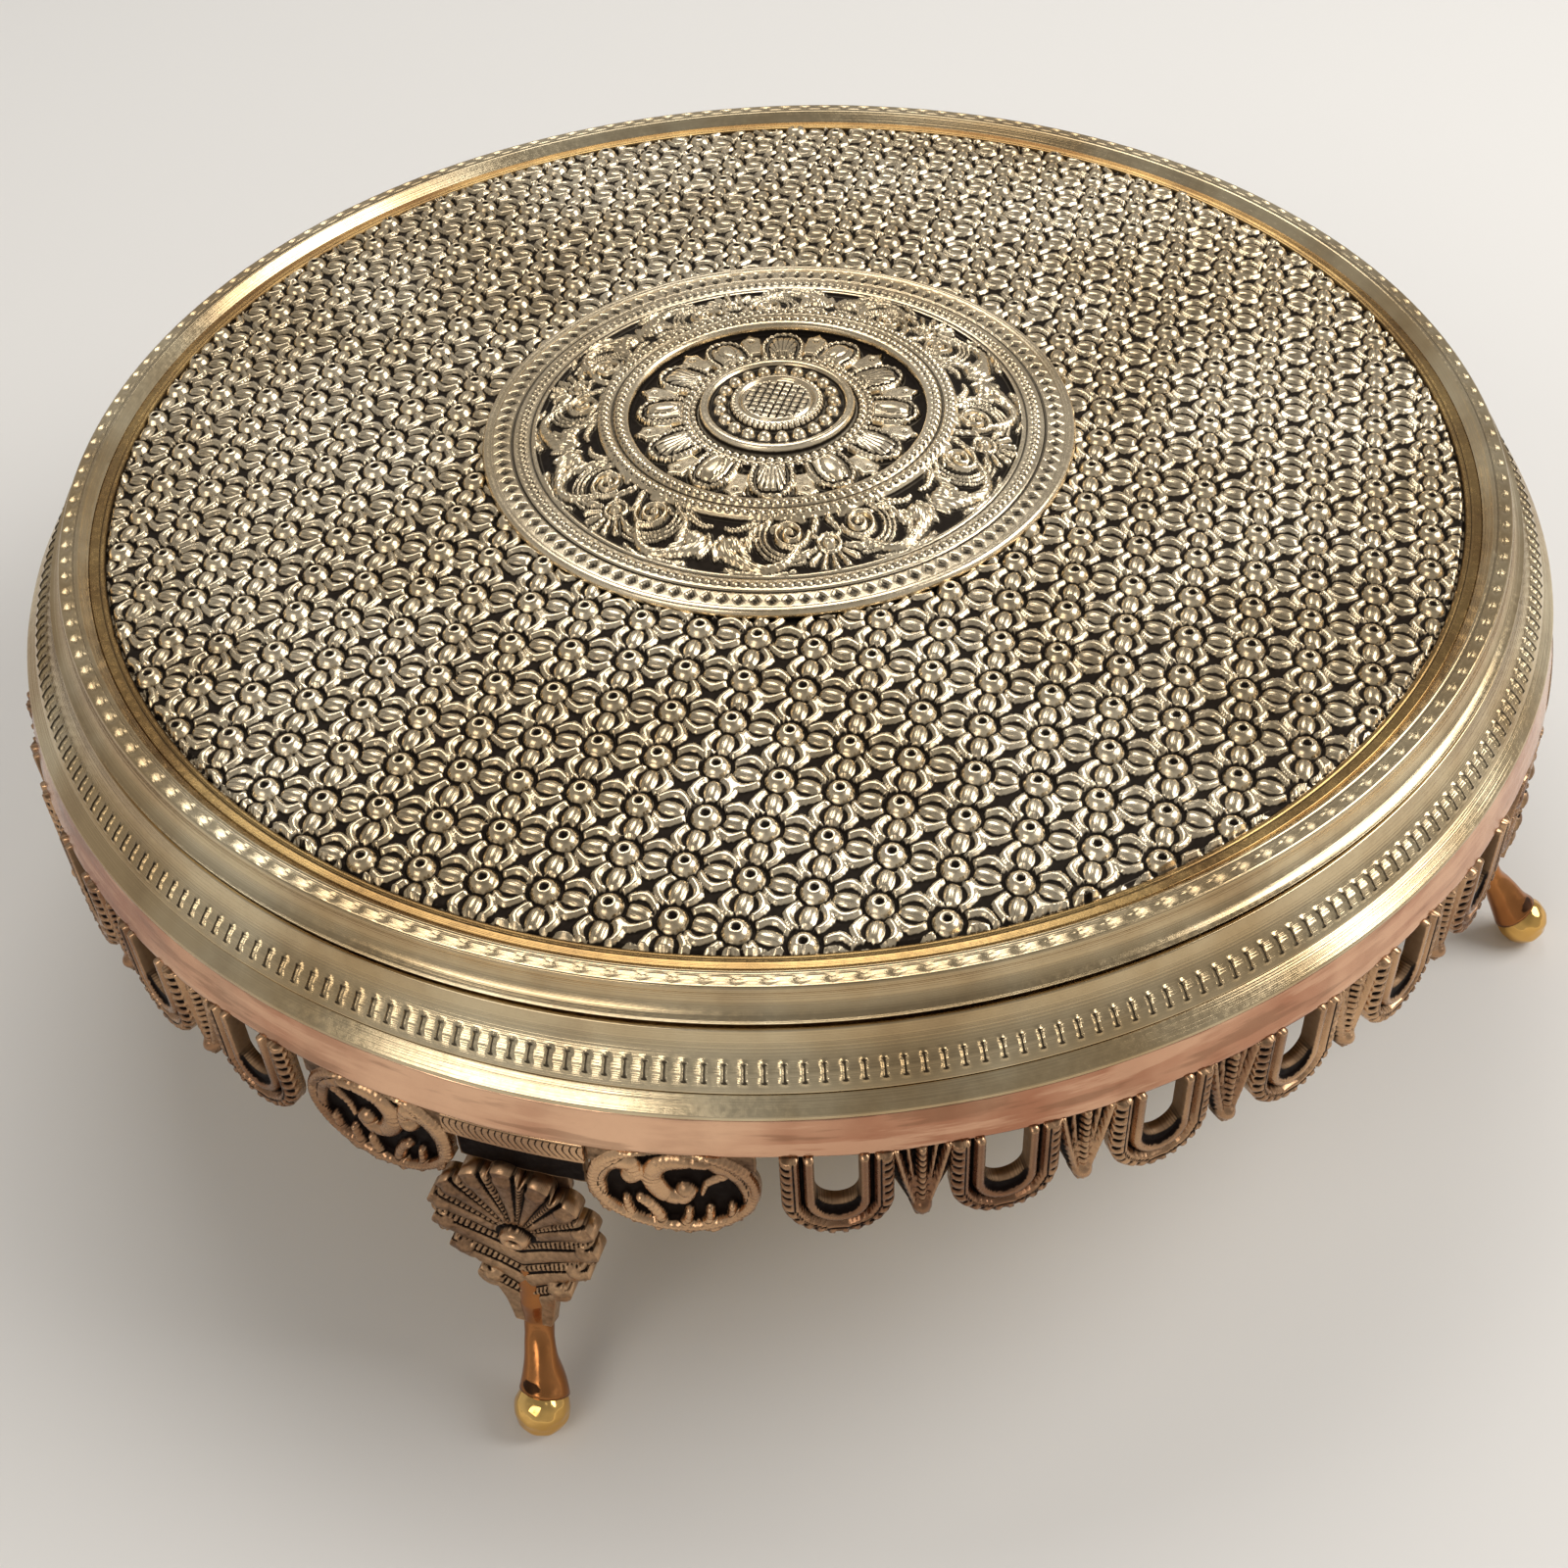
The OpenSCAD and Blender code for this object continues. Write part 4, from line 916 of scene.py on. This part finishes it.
def dart_outline(x, y):
    """Pointed bar with a ball at its tip."""
    width = interp(unit(-y / DART_DEPTH), [0, 0.45, 1.0], [DART_TOP_W, DART_TOP_W, 1.9])
    body = maximum(abs(x) - width, -y - DART_DEPTH)
    return maximum(minimum(body, hypot(x, y + DART_DEPTH) - 1.95), y)


# ---- scroll panels and strips

def in_oval(x, y, leaf=0.0):
    """Distance inwards from the edge of the scroll panel's oval, grown by leaf."""
    size = hypot(x / (SCROLL_HALF_W + leaf), (y - SCROLL_CY) / (SCROLL_HALF_H + leaf))
    return (1 - size) * hypot(x, y - SCROLL_CY) / maximum(size, 1e-6)


def oval_turn(x, y):
    """Angle round the oval."""
    return arctan2((y - SCROLL_CY) / SCROLL_HALF_H, x / SCROLL_HALF_W)


def scroll_outline(x, y):
    """Oval cut off flat by the wall, with small leaves along its lower edge."""
    turn = oval_turn(x, y)
    leaf = where(sin(turn) < -0.2, 0.35 * sin(18 * turn), 0)
    return maximum(minimum(-in_oval(x, y, leaf), slab(SCROLL_HALF_W - 0.6, STRIP_H)(x, y)), y)


LEAF_STOUT = 1.2              # how much stouter the strokes are than drawn here
ACANTHUS = [
    (bend((-6.0, -2.2), (-1.6, -2.0), (2.0, -3.6), (3.2, -7.2), (1.6, -10.8), (-1.4, -11.6), (-2.9, -9.6), n=60),
     interp(arange(60), [0, 12, 34, 48, 59], [0.8, 1.5, 1.75, 1.3, 0.9]), 1.8),
    dot(-2.0, -9.4, 1.45, 2.1),
    (bend((10.2, -17.6), (12.2, -13.2), (12.4, -8.2), (10.2, -4.0), (6.6, -3.6), (5.6, -6.6), n=60),
     interp(arange(60), [0, 16, 36, 48, 59], [0.9, 1.6, 1.8, 1.5, 1.0]), 1.8),
    dot(6.5, -6.6, 1.6, 2.2),
    taper(((-4.4, -20.4), (-8.4, -17.4), (-9.2, -13.0)), 1.25, 0.6, 1.7),
    taper(((-1.8, -20.6), (-5.0, -17.8), (-5.6, -14.2)), 1.2, 0.6, 1.7),
    taper(((0.8, -20.6), (-1.6, -18.0), (-2.2, -14.8)), 1.1, 0.6, 1.7),
    taper(((3.2, -20.4), (2.6, -17.6), (4.0, -14.2), (5.4, -12.6)), 1.1, 0.8, 1.7),
    taper(((6.2, -19.6), (7.4, -16.6), (7.8, -13.0)), 1.1, 0.6, 1.7),
    taper(((-10.8, -17.0), (-12.0, -11.2), (-10.2, -5.4), (-7.0, -2.8)), 0.9, 1.5, 1.5),
    taper(((-8.4, -5.4), (-5.6, -7.4), (-4.6, -10.2)), 0.9, 0.35, 1.3),
]


def scroll_relief(x, y):
    """Volutes and leaf fingers on a black ground, inside a rim cut with fine strokes."""
    inward = in_oval(x, y)
    rim = ridge(inward - 1.0, 1.1, 1.9)
    leaves, length = strokes(x, y, [(line, LEAF_STOUT * half, top) for line, half, top in ACANTHUS])
    rise = maximum(leaves, rim)
    cut = where(rim >= leaves, smooth(sin(oval_turn(x, y) * 84), 0.45, 0.95),
                smooth(cos(length * TURN / 0.95), 0.5, 0.95)) * smooth(rise, 0.5, 0.9)
    seam = smooth(0.26 - abs(inward - 2.05), 0.0, 0.2) * (rim < 0.9)
    shoulder = (inward < 0) & (y > -STRIP_H)
    recess = maximum(maximum(0.5 + 1.1 * (0.72 - rise), 0.42 * cut), 0.8 * seam)
    return (where(shoulder, PLATE_T - 0.8, PLATE_T - 1.6 + rise - 0.16 * cut),
            where(shoulder, 0.6, shade_of(recess)))


def strip_relief(x, y):
    """Row of punched strokes under a fine edge."""
    down = unit((-y - 0.5) / (STRIP_H - 0.9))
    curve = x + 0.55 * sin(down * pi * 1.15) - 0.5 * down
    stroke = smooth(0.17 - abs(folded(curve, STRIP_PITCH)), -0.06, 0.12) * (y < -0.45) * (y > -STRIP_H + 0.4)
    edge = smooth(0.2 - abs(y + 0.3), 0.0, 0.15)
    return PLATE_T - 0.25 * stroke - 0.3 * edge, 0.9 * maximum(stroke, edge)


def strip_place(angle):
    """Like bent, with the plate's back at the strip's back."""
    set_in = bent(angle, WALL_R)
    return lambda p: set_in(column_stack([p[:, :2], where(p[:, 2] > 0.5, p[:, 2], PLATE_T - STRIP_T)]))


def gallery_quarter(number):
    """Loops and darts of one pierced casting, the strip over a foot and the panels beside it."""
    casting = f"gallery_{number}"
    first = QUARTER * (number - 0.5) - LOOP_PITCH * (LOOPS - 1) / 2
    for k in range(LOOPS):
        plate(casting, f"loop_{k + 1}", LOOP_HALF_W + 0.4, LOOP_DEPTH + 0.4, loop_outline, loop_relief,
              bent(first + k * LOOP_PITCH, WALL_R))
    for k in range(LOOPS - 1):
        plate(casting, f"dart_{k + 1}", DART_TOP_W + 0.4, DART_DEPTH + 2.4, dart_outline, dart_relief,
              bent(first + (k + 0.5) * LOOP_PITCH, WALL_R))
    half_w = WALL_R * (SCROLL_ANGLE - arcsin((SCROLL_HALF_W - 0.5) / (WALL_R - STRIP_T)))
    foot_angle = QUARTER * (number - 1)
    plate(f"hatched_strip_{number}", "punched", half_w + 0.2, STRIP_H + 0.2, slab(half_w, STRIP_H), strip_relief,
          strip_place(foot_angle), step=0.16)
    for hand, panel in ((1, 2 * number - 1), (-1, 2 * number)):
        plate(f"scroll_panel_{panel}", "acanthus", SCROLL_HALF_W + 0.6, SCROLL_HALF_H - SCROLL_CY + 0.6,
              lambda x, y: scroll_outline(hand * x, y), lambda x, y: scroll_relief(hand * x, y),
              bent(foot_angle - hand * SCROLL_ANGLE, WALL_R), step=0.26)


# ---- palmette feet

BALL_REACH = FOOT_REACH - BALL_R
FAN_TOP_R, FAN_TOP_Z = WALL_R - 2.3, Z_WALL - 11.0
FOOT_LINE = bend((FAN_TOP_R, FAN_TOP_Z), (FAN_TOP_R, 44.0), (FAN_TOP_R + 0.1, 28.0), (FAN_TOP_R + 0.5, 19.4),
                 (FAN_TOP_R + 1.6, 16.4), (BALL_REACH - 6.2, 12.7), (BALL_REACH - 3.0, 8.2),
                 (BALL_REACH, BALL_R - BALL_FLAT), n=84)   # radius and height down a foot's middle
FOOT_LINE = FOOT_LINE[np.r_[True, hypot(*np.diff(FOOT_LINE, axis=0).T) > 1e-6]]
FOOT_DOWN = np.r_[0, np.cumsum(hypot(*np.diff(FOOT_LINE, axis=0).T))]
FOOT_LEN = FOOT_DOWN[-1]
FOOT_SKEW = (0.8, -1.0, 0.6, -3.0)   # how far each foot's palmette was soldered off its middle
FAN_H, FAN_HALF_W, FAN_T = 44.0, 15.0, 2.2
LOBES, LOBE_R = 13, 2.8
FAN_SPREAD = 304.0            # degrees of the outline that the lobes cover
FAN_PEAR = 1.5
FAN_NECK_HALF_W = 3.2
BOSS_Y, BOSS_EDGE_R = -0.43 * FAN_H, 3.1
NECK, STEM_TOP = FAN_H + 5.2, 0.90 * FAN_H
STEM_R = 2.6
BELL_R, BELL_H = BALL_R - 0.5, FOOT_LEN - FAN_H - 8.2
# Sheet painted black in the gap behind the palmette's top, standing for the shadow there.
SHADOW_SHEET_T, SHADOW_SHEET_DROP = 2.2, 12.0
SHADOW_SHEET_FRONT_R = WALL_R - STRIP_T - 0.3
BRACKET_W, BRACKET_DROP = 14.0, 18.0


def lobe_at(k, inset):
    """Place on the palmette's pear-shaped outline, drawn inwards; k may be a fraction."""
    t = FAN_SPREAD * (k / (LOBES - 1) - 0.5)
    return array([(FAN_HALF_W - inset) * sin(radians(t)), -inset - (FAN_H - 2 * inset) * (abs(t) / 180) ** FAN_PEAR])


LOBE_AT = [lobe_at(k, LOBE_R) for k in range(LOBES)]


def line_distance(x, y, k):
    """Distance across the line that facet k, or a ridge at k + 0.5, runs along, and the length
    along it as a share and in millimetres."""
    tip = lobe_at(k, 0.8)
    root = array([0.0, min(BOSS_Y, tip[1] - 7.0)])
    way = tip - root
    reach = np.linalg.norm(way)
    way /= reach
    run = (x - root[0]) * way[0] + (y - root[1]) * way[1]
    off = where(run < 0, hypot(x - root[0], y - root[1]), abs((x - root[0]) * way[1] - (y - root[1]) * way[0]))
    return off, run / reach, run


def nearest_line(x, y, places):
    """line_distance to the nearest of several lines."""
    found = array([line_distance(x, y, k) for k in places])
    return found[np.argmin(found[:, 0], 0), :, arange(x.size)].T


def fan_relief(x, y):
    """Broad plain facets that end in curled lobes, and hatched ridges between black grooves, round
    a ringed boss and a smooth spine."""
    to_facet, outward, _ = nearest_line(x, y, arange(LOBES))
    to_ridge, _, run = nearest_line(x, y, arange(LOBES - 1) + 0.5)
    gap = to_facet + to_ridge
    o = to_facet / maximum(gap, 1e-6)
    rise = where(o < 0.55, 0.85 + ridge(o, 0.62, 0.55), maximum(ridge(1 - o, 0.30, 1.45), 0.05))
    groove = minimum(o - 0.52, 0.72 - o) * gap
    hatch = 0.85 * smooth(0.5 + 0.5 * cos(run * TURN), 0.45, 0.85) * (o > 0.78) * (outward < 0.9)
    far = hypot(x, y - BOSS_Y)
    rise = rise * smooth(far, BOSS_EDGE_R - 0.2, BOSS_EDGE_R + 1.4) + 0.55 * smooth(outward, 0.3, 0.95)
    curl = np.min([hypot(x - cx * 1.03, y - cy) for cx, cy in LOBE_AT], 0)
    rise = maximum(rise, 1.0 + ridge(curl, 2.0, 1.5))
    recess = maximum(0.5 + (0.14 + 3.0 * groove) * smooth(curl, 1.5, 2.1), hatch * smooth(curl, 1.6, 2.2))
    d = hypot(x / 1.12, (y - BOSS_Y) / 0.92)
    height = FAN_T / 2 + where(d < 2.45, 1.2 + ridge(d - 1.45, 1.0, 1.6), rise - 0.1 - 0.25 * hatch)
    black = maximum(0.75 - d, minimum(d - 2.4, 3.3 - d) * (y > BOSS_Y - 1.0))
    recess = where(d < 2.45, 0.5 + 2 * black, maximum(recess, 0.5 + 2 * black * (d < 3.4)))
    return height, shade_of(recess)


def fan_outline(x, y):
    """Distance to the palmette: its lobes, what they stand on, and the neck."""
    lobes = np.min([hypot(x - cx, y - cy) for cx, cy in LOBE_AT], 0) - LOBE_R
    corners = LOBE_AT + [array([side * FAN_NECK_HALF_W, -FAN_H - 2]) for side in (1, -1)]
    inside, border = np.zeros(x.shape, bool), np.full(x.shape, 99.0)
    for (ax, ay), (bx, by) in zip(corners, corners[1:] + corners[:1]):
        wide, high = bx - ax, by - ay
        inside ^= ((ay > y) != (by > y)) & (x < wide * (y - ay) / (high + 1e-12) + ax)
        t = unit(((x - ax) * wide + (y - ay) * high) / (wide ** 2 + high ** 2))
        border = minimum(border, hypot(x - ax - t * wide, y - ay - t * high))
    return minimum(lobes, where(inside, -border, border))


def foot_place(number):
    """Function that sets (x across, y down the foot's line, height out) at a foot."""
    slope = unit_rows(np.gradient(FOOT_LINE, FOOT_DOWN, axis=0))

    def set_in(points):
        x, y, out = points.T
        line_r, line_z, slope_r, slope_z = (interp(-y, FOOT_DOWN, v) for v in (*FOOT_LINE.T, *slope.T))
        x = x + FOOT_SKEW[number - 1] * smooth(FOOT_LEN + y, 1.0, FOOT_LEN - FAN_H)
        return at_side(line_r - out * slope_z, x, line_z + out * slope_r, QUARTER * (number - 1))
    return set_in


def seat(piece, move):
    """Moves a piece's points to their place."""
    piece.data.vertices.foreach_set("co", (move(vertices(piece)) * MM).ravel())
    piece.data.update()


def stem_relief(r, z, a):
    """Wear, and a painted shadow on the bell where it meets the ball."""
    wear = 0.06 * sin(z * 0.9 + 2 * a) + 0.05 * sin(3 * a + z * 0.4)
    # Painted shadow: a dark patch on the bell's outer side just above the ball.
    shadow_spot = hypot(folded(a, TURN, 0.3) * 2.2, z + FOOT_LEN - 4.6)
    return wear * smooth(r, 0.3, 1.5), 0.9 * smooth(1.5 - shadow_spot, 0.0, 0.6)


def ball_relief(r, z, a):
    """Slow dents, a filed waist, and painted shade that darkens the underside."""
    filed = unit(r - BALL_R * 0.965) * smooth(z, -1.6, -1.2) * smooth(3.4 - z, 0, 0.4)
    dents = 0.04 * sin(5 * a + 3 * z) + 0.03 * sin(9 * a - 2 * z)
    # The second value is painted shade: the ball gets darker towards its underside.
    return dents * (abs(z) < 0.9 * BALL_R) - filed, 0.42 * smooth(-z, 1.4, 2.2)


def shadow_sheet_relief(x, y):
    """Uneven sheet painted fully black, a painted shadow in the gap behind the palmette."""
    return SHADOW_SHEET_T - 0.12 - 0.1 * sin(x * 1.3 + 2 * sin(y)) * sin(y * 1.1), np.ones_like(x)


def foot(number):
    """Cast foot: palmette, waisted stem with its bell, ball, the bracket behind, and a sheet painted black behind the
    palmette's top as a painted shadow.
    """
    set_in, node, angle = foot_place(number), f"foot_{number}", QUARTER * (number - 1)
    plate(node, "palmette", FAN_HALF_W + 0.5, FAN_H + 2.5, fan_outline, fan_relief,
          lambda p: set_in(column_stack([p[:, :2], where(p[:, 2] == 0, -FAN_T / 2, p[:, 2])])), step=0.2, top=0.5)

    bell = [(STEM_R + (BELL_R - STEM_R) * (k / 8) ** 1.4, -NECK - BELL_H * k / 8, 0) for k in range(8, 0, -1)]
    stem = [(0.05, -NECK - BELL_H, 0), *bell, (STEM_R, -NECK, 0), (STEM_R * 1.2, -STEM_TOP, 0.5),
            (STEM_R * 0.4, BOSS_Y, 0.2), (0.05, BOSS_Y, 0)]
    seat(turned(node, "stem", WORN, rounded(stem), 64, stem_relief),
         lambda p: set_in(column_stack([-p[:, 1], p[:, 2], p[:, 0]])))

    steps = linspace(-pi / 2, pi / 2, 41)
    ball = stack([maximum(BALL_R * cos(steps), 0.02), maximum(BALL_R * sin(steps), BALL_FLAT - BALL_R)], -1)
    seat(turned(node, "ball", POLISHED, ball, 72, ball_relief),
         lambda p: p + polar(BALL_REACH, angle, BALL_R - BALL_FLAT))

    half_w = WALL_R * arcsin((FOOT_GAP_HALF_W - 0.5) / WALL_R) * SHADOW_SHEET_FRONT_R / WALL_R
    # Painted shadow: a black sheet that closes the gap between the scroll panels behind the palmette.
    plate(node, "ground", half_w + 0.2, SHADOW_SHEET_DROP + 0.2, slab(half_w, SHADOW_SHEET_DROP), shadow_sheet_relief,
          bent(angle, SHADOW_SHEET_FRONT_R, SHADOW_SHEET_T), step=0.5)

    inner, out = SHADOW_SHEET_FRONT_R - SHADOW_SHEET_T - 1.0, FAN_TOP_R - FAN_T / 2 + 0.3
    bottom, top = Z_WALL - BRACKET_DROP, Z_WALL - BRACKET_DROP / 2
    side = rounded([(r, z, 0.6) for r, z in ((inner, bottom), (out, bottom), (out, top), (inner, top))], 0.8)
    across = linspace(-BRACKET_W / 2, BRACKET_W / 2, 15)[:, None]
    shrink = where(abs(across) == BRACKET_W / 2, 0.94, 1.0)   # rounds the bracket's ends
    r, z = (m + (line - m) * shrink for m, line in zip(side.mean(0), side.T))
    points = at_side(r, across, z, angle).reshape(-1, 3)
    caps = [arange(len(side))[None, ::-1], len(points) - len(side) + arange(len(side))[None, :]]
    make_object(node, "bracket", CAST, points, [grid_faces(*r.shape), *caps], recess=np.full(len(points), 0.6))


for foot_number in range(1, FEET + 1):
    gallery_quarter(foot_number)
    foot(foot_number)


# ---- stage and light

FLOOR_HALF_M = 3.0
LAMPS_LOOK_AT_Z = 0.09        # metres


def make_floor():
    """Plain pale floor."""
    mesh = bpy.data.meshes.new("floor")
    corners = [(x * FLOOR_HALF_M, y * FLOOR_HALF_M, 0) for x, y in ((-1, -1), (1, -1), (1, 1), (-1, 1))]
    mesh.from_pydata(corners, [], [(0, 1, 2, 3)])
    material = bpy.data.materials.new("floor")
    shader = Graph(material).tree.nodes["Principled BSDF"].inputs
    shader["Base Color"].default_value = rgb(226, 222, 216)
    shader["Roughness"].default_value = 0.9
    mesh.materials.append(material)
    add("floor", mesh)


def softbox(name, azimuth, elevation, distance, size, power, colour=(1, 1, 1)):
    """Area lamp that looks at the lid, placed by its direction from the box in degrees."""
    data = bpy.data.lights.new(name, "AREA")
    data.shape, data.size, data.size_y = "RECTANGLE", *size
    data.energy, data.color = power, colour
    lamp = add(name, data)
    a, e = radians((azimuth, elevation))
    away = Vector((cos(a) * cos(e), sin(a) * cos(e), sin(e)))
    lamp.location = away * distance + Vector((0, 0, LAMPS_LOOK_AT_Z))
    lamp.rotation_euler = away.to_track_quat("Z", "Y").to_euler()


def make_world():
    """Soft grey room, lighter towards the horizon."""
    world = bpy.context.scene.world = bpy.data.worlds.new("room")
    g = Graph(world)
    up = g.node("ShaderNodeSeparateXYZ", {0: g.node("ShaderNodeTexCoord").outputs["Generated"]}).outputs[2]
    grey = g.node("ShaderNodeMapRange", {0: up, 1: 0.0, 2: 0.9, 3: 0.55, 4: 0.28}).outputs[0]
    g.put(g.tree.nodes["Background"].inputs["Color"], grey)
    g.tree.nodes["Background"].inputs["Strength"].default_value = 1.0


make_floor()
make_world()
softbox("window", 20, 38, 1.3, (0.9, 0.7), 11.5)
softbox("top", 120, 62, 1.2, (0.7, 0.6), 5)
softbox("front", -110, 35, 1.4, (0.7, 0.5), 3.6, (1.0, 0.94, 0.86))
bpy.context.scene.view_settings.view_transform = "Standard"


# ---- reports and finish

def finished(*names):
    """Image points of the finished vertices of the pieces whose names start as given."""
    rows = []
    for piece in bpy.data.objects:
        if piece.type == "MESH" and piece.name.startswith(names):
            world = array(piece.matrix_world)
            rows.append(vertices(piece) @ world[:3, :3].T + world[:3, 3] / MM)
    return on_image(concatenate(rows))


def middle(seen):
    """Middle of the box round some image points."""
    return (seen.min(0) + seen.max(0)) / 2


def boss_at(column, row):
    """Image point of a lattice boss's top, with its hand-made error."""
    index = array([column, row])
    even = LATTICE_AT + index @ STEPS
    flat = even
    for _ in range(3):
        flat = even + error_at(BOSS_ERRORS, index) - wave(*flat)
    return on_image([*flat, dome_z(hypot(*flat)) + BOSS_TOP])[0]


def shown():
    """How far each named thing shows in the image from its point."""
    body = finished("lid_", "base_", "step_", "outer_", "nakshi", "medallion", "gallery", "scroll", "foot_")
    disc = finished("medallion_")
    boss = foot_place(FEET)(array([[0.0, BOSS_Y, FAN_T / 2 + 2.4]]))
    at = {"left": body.min(0), "right": body.max(0), "top": body.min(0), "bottom": body.max(0),
          "front_ball": middle(finished(f"foot_{FEET}_ball")), "right_ball": middle(finished("foot_1_ball")),
          "front_boss": on_image(boss)[0], "rosette": on_image([0, 0, Z_CROWN + RISE[0][1]])[0],
          "medallion_left": disc.min(0), "medallion_right": disc.max(0), "medallion_bottom": disc.max(0),
          "lattice_a": boss_at(0, 0), "lattice_b": boss_at(*B_AT), "lattice_c": boss_at(*C_AT),
          "flower": on_image(polar(FLOWER_R, FLOWER_ANGLE, FLOWER_Z))[0],
          "petal": on_image(polar(PETAL_SHOWN_R, PETAL_ANGLE, PETAL_Z))[0]}
    return {name: [None if want is None else round(float(got - want), 2) for got, want in zip(at[name], POINTS[name])]
            for name in POINTS}


shown()
